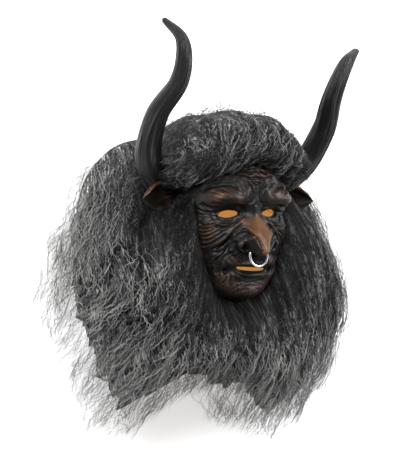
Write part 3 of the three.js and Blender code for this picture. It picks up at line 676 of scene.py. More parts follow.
def ear_surface(steps=40, arc=26):
    """Shallow dished leaf: at each place along it, a back bow and a front bow meet at a rolled edge.

    The half width narrows to the tip as 1 - t^2.2 over the outer half. With q from -1 to 1 across, the back
    lies behind the middle line by cup (1 - q^2). The front lies a wall before the back, with a bead along
    both edges and a fold down its middle. Gives the points and how far each stands proud.
    """
    along = unit(EAR_TIP - EAR_ROOT)
    forward = unit(EAR_FRONT_WAY - along * (EAR_FRONT_WAY @ along))
    up = np.cross(forward, along)
    s = np.linspace(0, 1, steps)[:, None]
    taper = 1 - np.maximum(0, (s - 0.5) / 0.5) ** 2.2
    width = EAR_HALF_WIDTH * (0.62 + 0.38 * smooth(0, 0.4, s)) * taper + 0.3
    cup = EAR_CUP * (0.75 + 0.25 * smooth(0, 0.4, s)) * taper
    small = np.minimum(1, width / 9)
    turn = np.linspace(-np.pi / 2, np.pi / 2, arc)[None, :]
    q = np.concatenate([np.sin(turn), np.sin(turn[:, ::-1])], 1)
    is_front = np.concatenate([0 * turn, 1 + 0 * turn], 1)
    closing = np.sqrt(np.clip(1 - np.abs(q) ** 10, 0, 1))
    bead = 3.4 * bell(q - 0.80, 0.17) + 0.9 * bell(q + 0.86, 0.13)
    fold = 2.4 * bell(q + 0.25 + 0.5 * (s - 0.35), 0.10) * smooth(0.02, 0.2, s) * smooth(0.62, 0.4, s)
    open_share = smooth(0.0, 0.25, s)
    hollow = open_share * EAR_WALL + (1 - open_share) * 0.8 * cup
    front = (hollow + bead + fold) * closing * small
    height = -cup * (1 - q**2) + is_front * front - (1 - is_front) * 0.5 * closing * small
    place = EAR_ROOT + (EAR_TIP - EAR_ROOT) * s
    points = place[:, None, :] + up * (width * q)[..., None] + forward * height[..., None]
    ripple = 0.5 * cloud(points, 9.0) + 0.35 * cloud(points, 4.0)
    points = points + forward * (ripple * is_front * closing * small)[..., None]
    dull = 0.35 * is_front * (1 - np.minimum(bead, 1))
    proud = 0.22 * bead - dull + 0.25 * fold - 0.9 * bell(q - 0.55, 0.12)
    return points, proud + 0.6 * ripple


def ear_part(side, start):
    """One ear's vertices, its quads and end triangles numbered from start, and how proud each vertex is."""
    leaf, proud = ear_surface()
    leaf = leaf * (side, 1, 1)
    rows, columns = leaf.shape[:2]
    quads = grid_faces(rows, columns, True, start)
    ring = np.arange(columns) + start
    middle = start + rows * columns
    ends = [fan_faces(ring, middle, side < 0), fan_faces(ring + (rows - 1) * columns, middle + 1, side > 0)]
    vertices = np.vstack([leaf.reshape(-1, 3), leaf[0].mean(0), leaf[-1].mean(0)])
    return vertices, quads[:, ::-1] if side > 0 else quads, np.vstack(ends), np.append(proud, [0, 0])


def cut_openings(outer, inner, proud):
    """The grid's quads, and which are cut away for eyes and mouth; corners left inside move to the edge."""
    rows, columns = outer.shape[:2]
    xy = outer[..., :2]
    inside = np.zeros((rows, columns), bool)
    for outline in openings():
        inside |= inside_outline(xy, outline) & (outer[..., 2] > FACE_FROM_Z)
    quads = grid_faces(rows, columns, True).reshape(rows - 1, columns, 4)
    cut = inside.ravel()[quads].all(-1)
    at_edge = np.zeros(rows * columns, bool)
    at_edge[quads[~cut].ravel()] = True
    at_edge = at_edge.reshape(rows, columns) & inside
    for outline in openings():
        here = at_edge & near_outline(xy, outline, 2)
        edge = nearest_on_outline(xy[here], outline)[0]
        outer[here, :2] = edge
        inner[here, :2] = edge
        proud[here] = OPENING_DULLNESS
    return quads, cut


def joined_walls(a, b, turned, count):
    """Quads from the outer wall's edges a to b to the inner wall's, turned round where asked."""
    a, b = np.where(turned, b, a), np.where(turned, a, b)
    return np.stack([a, b, b + count, a + count], -1)


def shell_rims(cut, count):
    """Quads between the walls wherever a cut quad meets a kept one, and round the neck."""
    rows, columns = cut.shape
    level = cut[:-1] != cut[1:]
    i, j = np.nonzero(level)
    row = (i + 1) * columns
    across = joined_walls(row + j, row + (j + 1) % columns, ~cut[:-1][level], count)
    upright = cut != np.roll(cut, 1, axis=1)
    i, j = np.nonzero(upright)
    down = joined_walls(i * columns + j, (i + 1) * columns + j, cut[upright], count)
    j = np.arange(columns)
    neck = joined_walls(rows * columns + j, rows * columns + (j + 1) % columns, True, count)
    return np.vstack([across, down, neck])


def shell_piece(settings):
    """Puts the two walls, their rims and both ears into one mesh."""
    outer, inner, proud, warm = shell_surfaces(settings.wall * 1000)
    count = warm.size
    quads, cut = cut_openings(outer, inner, proud)
    kept = quads[~cut]
    crown = np.array([0, HEAD_ROWS[0, 0], HEAD_CENTRE_Z])
    points = np.vstack([outer.reshape(-1, 3), inner.reshape(-1, 3), crown, crown - (0, CROWN_WALL, 0)])
    first_ring = np.arange(outer.shape[1])
    left = ear_part(1, len(points))
    right = ear_part(-1, len(points) + len(left[0]))
    faces = [
        np.vstack([kept[:, ::-1], left[1], right[1]]),
        np.vstack([fan_faces(first_ring, 2 * count), left[2], right[2]]),
        kept + count,
        fan_faces(first_ring + count, 2 * count + 1, True),
        shell_rims(cut, count),
    ]
    sizes = [len(f) for f in faces]
    inner_side = np.zeros(count + 2)
    ears = np.full(len(left[0]) + len(right[0]), EAR_WARMTH)
    return add_piece(
        "latex_head", np.vstack([points, left[0], right[0]]), faces,
        [latex_material(settings), glowing_lining_material(settings)], ("mask_shell",),
        {
            "proud": np.concatenate([proud.ravel(), inner_side, left[3], right[3]]),
            "warm": np.concatenate([warm.ravel(), inner_side, ears]),
        },
        flat=np.repeat([False, False, False, False, True], sizes), paint=np.repeat([0, 0, 1, 1, 0], sizes),
    )


# Horns and ring

def horn_surface(grain, steps=120, sides=64, cap_steps=9):
    """Oval section swept along a curve and closed by a rounded cap, scored by noise stretched along the horn.

    The half widths are the radius times and over a flattening that grows from the root, plus the scoring.
    At the cap both shrink as the cosine of an angle while the section moves on by its sine. Gives the points,
    the scoring's share and the place round and along the horn.
    """
    cap = np.linspace(0, 0.48 * np.pi, cap_steps)
    cap_start = 1 - HORN_CAP_SHARE
    before_cap = np.linspace(0, cap_start, steps - cap_steps + 1)[:-1]
    share = np.concatenate([before_cap, cap_start + HORN_CAP_SHARE * np.sin(cap)])
    tip = np.concatenate([np.ones(len(before_cap)), np.cos(cap)])[:, None]
    path = along_rows(HORN_PATH, share)
    radius = along_rows(HORN_RADII[:, None], share)[:, 0]
    along = unit(np.gradient(path, axis=0))
    wide = unit(HORN_BROAD_WAY - along * (along @ HORN_BROAD_WAY)[:, None])
    thin = np.cross(along, wide)
    flat = 1 + (HORN_FLATTENING - 1) * smooth(0.2, 0.6, share)
    angle = 2 * np.pi * np.arange(sides) / sides
    turn = angle[None, :] + 0.5 * share[:, None]
    length = HORN_LENGTH * share[:, None] * np.ones_like(angle)
    ring = np.stack([np.cos(turn) * 15, np.sin(turn) * 15, length / 26], -1)
    furrow = -np.abs(cloud(ring + 90, 2.3))
    score = grain * (0.5 * cloud(ring, 3.4) + 0.32 * cloud(ring + 40, 1.35) + 0.9 * furrow)
    growth = 0.35 * cloud(np.stack([length / 7, length * 0, length * 0], -1), 1.0)
    score = score + growth * (1 - smooth(0.25, 0.7, share))[:, None]
    score = score * np.minimum(1, radius / 12)[:, None]
    a = (radius * flat)[:, None] * tip + score * tip
    b = (radius / flat)[:, None] * tip + score * tip
    points = path[:, None, :] + wide[:, None, :] * (a * np.cos(angle))[..., None]
    points = points + thin[:, None, :] * (b * np.sin(angle))[..., None]
    fibre = np.stack([turn * 15, length, 0 * length], -1)
    return points, score / max(grain, 1e-6), fibre


def closed_tube(points, ends=None):
    """Vertices and faces of a tube of rings, closed by fans to the end rings' middles or to given points."""
    rows, columns = points.shape[:2]
    count = rows * columns
    if ends is None:
        ends = np.array([points[0].mean(0), points[-1].mean(0)])
    vertices = np.vstack([points.reshape(-1, 3), ends])
    ring = np.arange(columns)
    fans = [fan_faces(ring, count, True), fan_faces(ring + count - columns, count + 1)]
    return vertices, [grid_faces(rows, columns, True), np.vstack(fans)]


def outward(vertices, faces):
    """The faces, all turned round if they make a solid of negative volume."""
    volume = 0.0
    for f in faces:
        for k in range(1, f.shape[1] - 1):
            a, b, c = vertices[f[:, 0]], vertices[f[:, k]], vertices[f[:, k + 1]]
            volume += (a * np.cross(b, c)).sum()
    return faces if volume > 0 else [f[:, ::-1] for f in faces]


def horn_piece(name, node, side, settings):
    """One horn; the right one is the left one mirrored."""
    points, score, fibre = horn_surface(settings.grain_depth * 1000)
    vertices, faces = closed_tube(points * (side, 1, 1))
    return add_piece(
        name, vertices, outward(vertices, faces), [horn_material(settings)], (node,),
        {"proud": np.append(score, [0.0, 0.0])},
        {"fibre": np.vstack([fibre.reshape(-1, 3), np.zeros((2, 3))])},
    )


def ring_piece(settings, steps=90, sides=18):
    """Round wire bent on an open circle, a little uneven, its ends rounded off over three steps."""
    opened = math.radians(RING_GAP_DEG)
    start = math.radians(90 + RING_TURN_DEG) + opened / 2
    share = np.linspace(0, 1, steps)
    turn = (start + (2 * math.pi - opened) * share)[:, None]
    from_end = np.minimum(share, 1 - share) * (steps - 1)
    rounding = np.sqrt(np.clip(1 - (1 - np.minimum(from_end / 3, 1)) ** 2, 0.02, 1))
    wire = settings.wire * 500 * rounding[:, None]
    angle = (2 * np.pi * np.arange(sides) / sides)[None, :]
    place = np.broadcast_arrays(turn * 9, np.cos(angle) * 2, np.sin(angle) * 2)
    beat = 1 + 0.05 * cloud(np.stack(place, -1), 1.0)
    reach = settings.radius * 1000 + wire * beat * np.cos(angle)
    points = np.stack([reach * np.cos(turn), reach * np.sin(turn), wire * beat * np.sin(angle)], -1)
    vertices, faces = closed_tube(points + RING_CENTRE)
    return add_piece("nose_ring_polished", vertices, outward(vertices, faces),
                     [ring_material(settings)], ("nose_ring",))


# Hair

def tip_wave(turn):
    """Pointed tips with wide notches between them: 1 - 2 |sin|^0.7."""
    return 1 - 2 * np.abs(np.sin(np.pi * turn)) ** 0.7


def lock_wave(turn):
    """Broad rounded locks with narrow grooves between them: 1 - 2 |sin|^2.5."""
    return 1 - 2 * np.abs(np.sin(np.pi * turn)) ** 2.5


def fall(xy, source, weight):
    """Direction of fall in plan: away from a source point, pulled down the mask."""
    away = unit(xy - source)
    return unit(away * (1 - weight) + np.array([0.0, -1.0]) * weight)


def fall_lines(xy, source, weight, circle=200.0):
    """Place across and along the lines of that fall.

    Each line keeps r sin(f) tan(f/2)^k, with r the distance from the source, f the angle from straight down
    and k = (1 - weight) / weight. Where the line crosses a circle of 200 mm gives its place across.
    """
    off = xy - source
    r = np.hypot(off[..., 0], off[..., 1])
    f = np.arctan2(np.abs(off[..., 0]), -off[..., 1])
    k = (1 - weight) / weight
    table = np.linspace(0, 0.97 * np.pi, 600)
    kept = np.sin(table) * np.tan(table / 2) ** k
    f = np.minimum(f, table[-1])
    crossing = np.interp(r * np.sin(f) * np.tan(f / 2) ** k / circle, kept, table)
    return np.stack([circle * crossing * np.sign(off[..., 0]), r], -1)


def clumps(lines):
    """Uneven locks along the lines of fall: ridges of three sizes with narrow grooves, in millimetres."""
    flat = np.concatenate([lines, np.zeros_like(lines[..., :1])], -1)
    wide = 1 - 2.4 * np.abs(cloud(flat * (1, 0.12, 1), 13.0))
    fine = 1 - 2.4 * np.abs(cloud(flat * (1, 0.16, 1) + 50, 5.5))
    lock = 1 - 2.4 * np.abs(cloud(flat * (1, 0.12, 1) + 90, 30.0))
    return 3.0 * lock + 1.5 * wide + 0.8 * fine


def fibre_lines(vertices, flow):
    """Place of each vertex across and along the hair, where going down counts as going along."""
    return fall_lines(vertices[:, :2], *flow) - vertices[:, 2:] * (0, 1)


def hair_light_and_shade(x, y):
    """How light the hair is, 1 on the whole.

    It has painted shade in an oval round the face, a painted shadow of the beard in a slanting streak below
    the right ear, and painted shadow under both ears and horns; it has painted light far to the right and far
    below, where the hair thins over the floor.
    """
    # Painted shade in an oval round the face, and a painted shadow of the beard in a slanting streak
    off = np.hypot(x / 78.0, (y + 35) / 100.0)
    shaded = 0.78 * bell(off - 1.0, 0.52)
    across, along = 0.87 * (x + 118) - 0.5 * (y + 28), 0.5 * (x + 118) + 0.87 * (y + 28)
    shaded = shaded + 0.5 * spot(across, along, 20, 55)
    # Painted shadow under the ears and horns
    ear_horn_shadow = 0.55 * spot(np.abs(x) - 92, y - 48, 34, 32)
    # Painted light far to the right and far below
    return 1.0 - np.minimum(shaded + ear_horn_shadow, 0.86) + 1.5 * smooth(70, 190, -x) + 1.7 * smooth(120, 240, -y)


def mane_reach(angle, count=1080):
    """By angle round the mane's centre: the outline's reach, the dense part's inset and the place along."""
    curve = closed_curve(np.column_stack([MANE_OUTLINE, MANE_INSET]), count)
    off = curve[:, :2] - MANE_CENTRE
    at = np.arctan2(off[:, 1], off[:, 0])
    order = np.argsort(at)
    place = np.unwrap(2 * np.pi * np.arange(count) / count)
    values = np.stack([np.hypot(*off.T), curve[:, 2], np.cos(place), np.sin(place)])[:, order]
    reach, inset, c, s = (np.interp(angle, at[order], row, period=2 * np.pi) for row in values)
    return reach, inset, (np.arctan2(s, c) / (2 * np.pi)) % 1


def dome(share):
    """Height of a dome on the floor with a 5 mm high edge: (1 - r^n)^(1/n) of the share r out to its edge."""
    rise = (1 - np.clip(share, 0, 1) ** MANE_ROUNDING) ** (1 / MANE_ROUNDING)
    return FLOOR_Z + MANE_EDGE + (MANE_HEIGHT - MANE_EDGE) * rise


def mane_height(x, y, dense):
    """The mane's dome over its outline; its dense part comes down to the floor at its own nearer edge."""
    off_x, off_y = x - MANE_CENTRE[0], y - MANE_CENTRE[1]
    reach, inset, _ = mane_reach(np.arctan2(off_y, off_x))
    out = np.hypot(off_x, off_y)
    whole, inner = out / reach, out / (reach - inset)
    return dome(whole + dense * (inner - whole) * smooth(0.4, 1, inner))


def passage_height(x, y, roof):
    """Roof or floor of the way into the neck, an oval, and where it is."""
    share = np.clip((RIM_Y + 4 - y) / WAY_LENGTH, 0, 1)
    half = WAY_HALF_WIDTH + WAY_WIDENING * share
    top, bottom = WAY_TOP - WAY_DROP * share, WAY_FLOOR - WAY_WIDENING * share
    oval = np.sqrt(np.clip(1 - (x / half) ** 2, 0, 1))
    middle, rise = (top + bottom) / 2, (top - bottom) / 2
    return middle + (rise if roof else -rise) * oval, (np.abs(x) < half) & (y < RIM_Y + 4)


def mane_surface(angles=400, shares=40):
    """The dense dome on spokes from its centre, closed by a flat underside a little above the floor.

    It is lowered under the head and the way into the neck, waved into locks along the fall, and its edge is
    drawn out along the fall into tips of three sizes.
    """
    angle = 2 * np.pi * np.arange(angles)[None, :] / angles
    share = (np.linspace(0, 1, shares + 1)[1:] ** 0.8)[:, None]
    reach, inset, place = mane_reach(angle)
    outer = smooth(0.3, 0.95, share)
    turn = MANE_LOCKS * place
    out = (reach - inset) * share
    way = np.stack([np.cos(angle), np.sin(angle)], -1)
    xy = MANE_CENTRE + out[..., None] * way
    z = mane_height(xy[..., 0], xy[..., 1], 1)
    falling = fall(xy, *MANE_FLOW)
    leaving = np.maximum(0, (falling * way).sum(-1))
    tips = 0.6 * tip_wave(turn) + 0.6 * tip_wave(turn * 3.4) + 0.6 * tip_wave(turn * 5.3 + 0.3)
    xy = xy + falling * (TIP_REACH * tips * leaving * outer**3)[..., None]
    x, y = xy[..., 0], xy[..., 1]
    z = z + clumps(fall_lines(xy, *MANE_FLOW)) * smooth(1, 0.9, share) - LOCK_SINK
    row = along_rows(HEAD_ROWS, share_of_height(y))
    beneath = (np.abs(x) < row[..., 1]) & (y > RIM_Y)
    z = np.where(beneath, np.minimum(z, head_height(x, y, False) - 2), z)
    floor, inside = passage_height(x, y, False)
    z = np.where(inside, np.minimum(z, floor - 1), z)
    z = np.maximum(z, FLOOR_Z + 1)
    underside = FLOOR_Z + 0.4
    foot = np.stack([x[-1], y[-1], np.full(angles, underside)], -1)
    points = np.concatenate([np.stack([x, y, z], -1), foot[None]], 0)
    back_of_head = head_height(MANE_CENTRE[:1], MANE_CENTRE[1:], False)[0]
    centre = np.array([[*MANE_CENTRE, min(back_of_head - 2, 0)], [*MANE_CENTRE, underside]])
    vertices, faces = closed_tube(points, centre)
    return vertices, outward(vertices, faces), fibre_lines(vertices, MANE_FLOW)


def beard_surface(along=40, across=270, dense=1):
    """Top of the beard between its root line and its tip line.

    It swells by |sin| of the place u along and comes down to lie 14 mm under the mane's surface, where it is
    above that, and it is waved into locks. The dense part stops short of the tips and has a ragged edge.
    """
    u = np.linspace(0, 1, along)[:, None]
    v = np.linspace(0, 1, across)[None, :]
    root = along_rows(BEARD_ROOTS, v)
    tip = along_rows(BEARD_TIPS, v)
    outer = smooth(0.1, 0.9, u)
    run = np.linalg.norm((tip - root)[..., :2], axis=-1)
    ragged = 0.05 * tip_wave(BEARD_LOCKS * v * 3.7) + 0.05 * tip_wave(BEARD_LOCKS * v * 6.1 + 0.4)
    short = along_rows(BEARD_INSET[:, None], v)[..., 0] / run
    reach = u * (1 + (0.035 * tip_wave(BEARD_LOCKS * v) + dense * ragged) * outer - dense * short)
    x = root[..., 0] + (tip[..., 0] - root[..., 0]) * reach
    y = root[..., 1] + (tip[..., 1] - root[..., 1]) * reach
    full = 0.3 + 0.7 * smooth(0, BEARD_THIN_ENDS, np.minimum(v, 1 - v))
    swell = full * BEARD_SWELL * np.sin(np.pi * u**0.9) ** 0.9
    z = root[..., 2] + (tip[..., 2] - root[..., 2]) * u**1.5 + swell
    rest = mane_height(x, y, dense) - BEARD_SINK
    laid = smooth(0.05, 0.45, u) * smooth(1.6 * BEARD_THIN_ENDS, 0.2 * BEARD_THIN_ENDS, v)
    z = np.where(z > rest, z + (rest - z) * laid, z)
    lines = fall_lines(np.stack([x, y], -1), *BEARD_FLOW)
    z = z + (clumps(lines) - LOCK_SINK) * smooth(0, 0.2, u) * smooth(0, 0.15, v)
    return np.stack([x, y, z], -1)


def beard_solid():
    """The beard's top, and an underside that rests on the mane, the neck and the way into it."""
    top = beard_surface()
    x, y = top[..., 0], top[..., 1]
    under = mane_height(x, y, 1) - 6
    row = along_rows(HEAD_ROWS, share_of_height(y))
    over_head = (np.abs(x) < row[..., 1] + 2) & (y > RIM_Y)
    under = np.where(over_head, np.maximum(under, head_height(x, y, True) + 1.5), under)
    roof, inside = passage_height(x, y, True)
    under = np.where(inside, np.maximum(under, roof + 1), under)
    u = np.linspace(0, 1, top.shape[0])[:, None]
    under = np.maximum(under, top[..., 2] - 4 - 75 * (1 - u))
    under = np.minimum(under, top[..., 2] - 2.5)
    bottom = np.stack([x, y, under], -1)
    rows, columns = x.shape
    count = rows * columns
    vertices = np.vstack([top.reshape(-1, 3), bottom.reshape(-1, 3)])
    quads = grid_faces(rows, columns)
    edge = np.concatenate([
        np.arange(columns), np.arange(1, rows) * columns + columns - 1,
        (rows - 1) * columns + np.arange(columns - 2, -1, -1), np.arange(rows - 2, 0, -1) * columns,
    ])
    wall = joined_walls(np.roll(edge, -1), edge, False, count)
    faces = [np.vstack([quads, quads[:, ::-1] + count, wall])]
    return vertices, outward(vertices, faces), fibre_lines(vertices, BEARD_FLOW)


def forelock_point(v, angle):
    """Roll of hair: an oval slice at each place v from horn to horn, fuller in the middle.

    It is waved into locks along its front and into wider lobes along its top, and the hairline under it rises
    by a bell at the middle.
    """
    fullness = (1 - np.abs(v) ** 3.2) ** (1 / 3.2)
    drop = FORELOCK_SAG * np.abs(v) ** 2.2
    wave = lock_wave(FORELOCK_LOCKS * (v + 1) * 0.5)
    swell = fullness * (1 + 0.035 * wave * np.maximum(0, np.cos(angle)))
    x = v * FORELOCK_HALF_LENGTH + 0 * angle
    arch = 1 - HAIRLINE_RISE * bell(v * FORELOCK_HALF_LENGTH, HAIRLINE_HALF)
    upright = FORELOCK_UP * np.where(np.sin(angle) < 0, arch, 1.0)
    ripple = np.cos(2 * np.pi * (x + 12) / FORELOCK_LOBE_SPACING)
    lobe = FORELOCK_LOBE * ripple * np.maximum(0, np.sin(angle)) ** 2 * fullness
    y = FORELOCK_CENTRE[1] - drop + upright * swell * np.sin(angle) + lobe
    z = FORELOCK_CENTRE[2] + FORELOCK_FORWARD * swell * np.cos(angle) - FORELOCK_DRAWN_BACK * v * v
    return np.stack([x, y, z], -1)


def forelock_lines(v, angle):
    """Place across and along the roll's fibres, which close in on its middle as they come forward."""
    along = FORELOCK_TURN * (np.pi / 2 - angle)
    leaning = np.exp(FORELOCK_LEAN * along / FORELOCK_HALF_LENGTH)
    across = FORELOCK_HALF_LENGTH * v * leaning + FORELOCK_COMB * along
    return np.stack([across, along + 0 * v], -1)


def forelock_surface(slices=150, sides=120):
    """The roll, with what would lie inside the head pushed out to just under its skin.

    Such a point moves along the ray from low in the head, by halving the stretch that crosses the skin.
    """
    v = -np.cos(np.pi * np.arange(1, slices) / slices)[:, None]
    angle = 2 * np.pi * np.arange(sides)[None, :] / sides
    points = forelock_point(v, angle)
    turned = np.mod(angle + np.pi / 2, 2 * np.pi) - np.pi / 2
    lines = forelock_lines(v, turned)
    middle = np.stack([
        points[..., 0], FORELOCK_CENTRE[1] - FORELOCK_SAG * np.abs(v) ** 2.2 + 0 * angle,
        FORELOCK_CENTRE[2] - FORELOCK_DRAWN_BACK * v * v + 0 * angle,
    ], -1)
    points = points + unit(points - middle) * (0.7 * clumps(lines) - LOCK_SINK)[..., None]
    low = np.array([0.0, -60.0, HEAD_CENTRE_Z])
    inside = head_inside(points, -FORELOCK_BEDDING) < 1
    ray = points - low
    near, far = np.ones(points.shape[:2]), np.full(points.shape[:2], 8.0)
    for _ in range(22):
        half = (near + far) / 2
        within = head_inside(low + ray * half[..., None], -FORELOCK_BEDDING) < 1
        near, far = np.where(within, half, near), np.where(within, far, half)
    points = np.where(inside[..., None], low + ray * near[..., None], points)
    vertices, faces = closed_tube(points)
    fibre = np.vstack([lines.reshape(-1, 2), np.zeros((2, 2))])
    return vertices, outward(vertices, faces), fibre


def tubes(points, radius, normal, sides):
    """Closed tube round each path, with a radius at each step."""
    paths, steps = points.shape[:2]
    along = unit(np.gradient(points, axis=1))
    side = unit(np.cross(along, normal))
    other = np.cross(side, along)
    turn = 2 * np.pi * np.arange(sides) / sides
    around = (side * radius[..., None])[:, :, None, :] * np.cos(turn)[:, None]
    around = around + (other * radius[..., None])[:, :, None, :] * np.sin(turn)[:, None]
    vertices = points[:, :, None, :] + around
    first = np.arange(paths)[:, None] * steps * sides
    quads = (first[..., None] + grid_faces(steps, sides, True).ravel()).reshape(-1, 4)
    start = first + np.arange(sides)[::-1]
    end = first + (steps - 1) * sides + np.arange(sides)
    return vertices.reshape(-1, 3), [quads, np.vstack([start, end])]


def crimped(path, normal, rng, amplitude):
    """Zigzag across the path and a little up and down, with its own strength for each strand and step."""
    strands, steps = path.shape[:2]
    along = unit(np.gradient(path, axis=1))
    side = unit(np.cross(along, normal))
    sign = np.where((np.arange(steps)[None, :] + rng.integers(0, 2, (strands, 1))) % 2 == 0, 1.0, -1.0)
    strength = amplitude * rng.uniform(0.5, 1.3, (strands, 1)) * rng.uniform(0.3, 1.6, (strands, steps))
    lift = amplitude * 0.6 * rng.normal(0, 1, (strands, steps))
    return path + side * (sign * strength)[..., None] + normal * lift[..., None]


def picked(spots, count):
    """Evenly chosen points of a longer list."""
    return spots[np.linspace(0, len(spots) - 1, min(count, len(spots))).astype(int)]


def strand_shades(rng, count, light):
    """Dark to middle grey strands, with a share of light grey ones among them."""
    dark = rng.beta(1.7, 1.9, count) * 0.6
    pale = rng.uniform(0.55, 1.0, count)
    return np.where(rng.random(count) < light, pale, dark)


def scattered(rng, count, low, high):
    """Points spread evenly over a box: steps by two fractions that never line up, from a random start."""
    step = np.arange(count)[:, None] * SCATTER_STEPS
    share = (rng.random(2) + step + rng.uniform(-0.004, 0.004, (count, 2))) % 1
    return np.array(low, float) + share * (np.array(high, float) - low)


def tapered(rng, strands, steps, width):
    """Half widths along a strand: full in the middle and fine at both ends."""
    s = np.linspace(0, 1, steps)[None, :]
    thick = width * rng.uniform(0.6, 1.25, (strands, 1))
    return 0.5 * thick * (0.25 + 0.75 * np.clip(np.minimum(s * 6, (1 - s) * 3), 0, 1))


class HairField:
    """Heights of the hair over its plan, read from grids: of its dense part and of its loosest strands.

    Cell is the grids' spacing, low their first corner and size their counts. The beard and the roll are
    sampled finely enough to reach every cell under them, and empty cells are far below the rest.
    """

    CELL = 3.0
    LOW = np.array([-276.0, -390.0])
    SIZE = (206, 190)
    BEARD_SAMPLES = (320, 760)
    ROLL_SAMPLES = (420, 400)
    EMPTY = -999.0

    def __init__(self):
        columns, rows = self.SIZE
        x = self.LOW[0] + self.CELL * np.arange(columns)[:, None]
        y = self.LOW[1] + self.CELL * np.arange(rows)[None, :]
        x, y = np.broadcast_arrays(x, y)
        self.mane = mane_height(x, y, 0)
        self.beard = self.raised(beard_surface(*self.BEARD_SAMPLES, 0))
        self.dense_mane = mane_height(x, y, 1)
        dense_beard = self.raised(beard_surface(*self.BEARD_SAMPLES, 1))
        self.dense = self.eased(np.maximum(self.dense_mane, dense_beard - 1))
        self.loose = self.eased(np.maximum(self.mane, self.beard))
        v = np.linspace(-0.98, 0.98, self.ROLL_SAMPLES[0])[:, None]
        angle = np.radians(np.linspace(-60, 120, self.ROLL_SAMPLES[1]))[None, :]
        roll = self.raised(forelock_point(v, angle))
        self.crown = self.eased(np.maximum(self.loose, roll))

    def raised(self, points):
        """Highest of the points over each cell."""
        column = np.rint((points[..., 0] - self.LOW[0]) / self.CELL).astype(int).ravel()
        row = np.rint((points[..., 1] - self.LOW[1]) / self.CELL).astype(int).ravel()
        table = np.full(self.SIZE, self.EMPTY)
        np.maximum.at(table, (column, row), points[..., 2].ravel())
        return table

    def eased(self, table):
        """The table averaged twice with its neighbours."""
        for _ in range(2):
            padded = np.pad(table, 1, mode="edge")
            beside = padded[:-2, 1:-1] + padded[2:, 1:-1] + padded[1:-1, :-2] + padded[1:-1, 2:]
            table = (beside + 4 * table) / 8
        return table

    def read(self, table, xy):
        """Value of a table at places on the plan, eased between its four cells."""
        q = np.clip((xy - self.LOW) / self.CELL, 0, np.array(self.SIZE) - 1.001)
        i, j = q[..., 0].astype(int), q[..., 1].astype(int)
        f, g = q[..., 0] - i, q[..., 1] - j
        near = table[i, j] * (1 - f) + table[i + 1, j] * f
        far = table[i, j + 1] * (1 - f) + table[i + 1, j + 1] * f
        return near * (1 - g) + far * g

    def normal(self, table, xy):
        """Upright direction of a table's surface, from its slope over a few cells."""
        step = 2 * self.CELL
        dx = self.read(table, xy + (step, 0)) - self.read(table, xy - (step, 0))
        dy = self.read(table, xy + (0, step)) - self.read(table, xy - (0, step))
        slope = np.stack([-dx / (2 * step), -dy / (2 * step)], -1)
        slope = np.clip(slope, -1.6, 1.6)
        return unit(np.concatenate([slope, np.ones(slope.shape[:-1] + (1,))], -1))


def off_the_ears(points):
    """True for strands that don't cross an ear in plan, or the space kept clear beside it."""
    x, y = np.abs(points[..., 0]), points[..., 1]
    share = (x - EAR_ROOT[0]) / (EAR_TIP[0] - EAR_ROOT[0])
    middle = EAR_ROOT[1] + (EAR_TIP[1] - EAR_ROOT[1]) * share
    half = EAR_CLEAR_HALF * smooth(1.1, 0.6, share)
    crosses = (share > 0.06) & (np.abs(y - middle) < half) & (points[..., 2] > EAR_BACK_Z)
    return ~crosses.any(1)


def hair_outlines():
    """Edges of the mane and of the beard in plan, the beard's from its roots to its tips."""
    tips = along_rows(BEARD_TIPS, np.linspace(0, 1, 90))[:, :2]
    roots = along_rows(BEARD_ROOTS, np.linspace(1, 0, 30))[:, :2]
    return closed_curve(MANE_OUTLINE, 120), np.vstack([tips, roots])


def outside_hair(xy):
    """Distance to the nearer edge of mane and beard together: less than 0 inside either."""
    mane, beard = hair_outlines()
    return np.minimum(outside_by(xy, mane), outside_by(xy, beard))


def draped(start, length, flow, wander, rng, steps, limit):
    """Carries each strand down the fall from its start, wandering a little, and ends it within a limit.

    A strand that would pass the limit is walked again with shorter strides. Gives the paths, and which are
    long enough to keep.
    """
    strands = len(start)
    swirl = rng.normal(0, wander, strands)
    drift = rng.normal(0, wander, strands)

    def walk(stride):
        """Step after step down the fall, turned by the strand's own bend and by soft noise."""
        path = np.empty((strands, steps, 2))
        path[:, 0] = start
        for k in range(1, steps):
            here = path[:, k - 1]
            way = fall(here, *flow)
            sway = cloud(np.concatenate([here, 0 * here[:, :1]], -1), 30.0)
            bend = swirl + drift * (k / steps) + 0.32 * sway
            c, s = np.cos(bend), np.sin(bend)
            way = np.stack([c * way[:, 0] - s * way[:, 1], s * way[:, 0] + c * way[:, 1]], -1)
            path[:, k] = here + way * stride[:, None]
        return path

    stride = length / (steps - 1)
    past = limit(walk(stride)) > 0
    share = np.where(past.any(1), past.argmax(1) / steps, 1.0)
    return walk(stride * np.maximum(share, 0.05)), share > 0.2


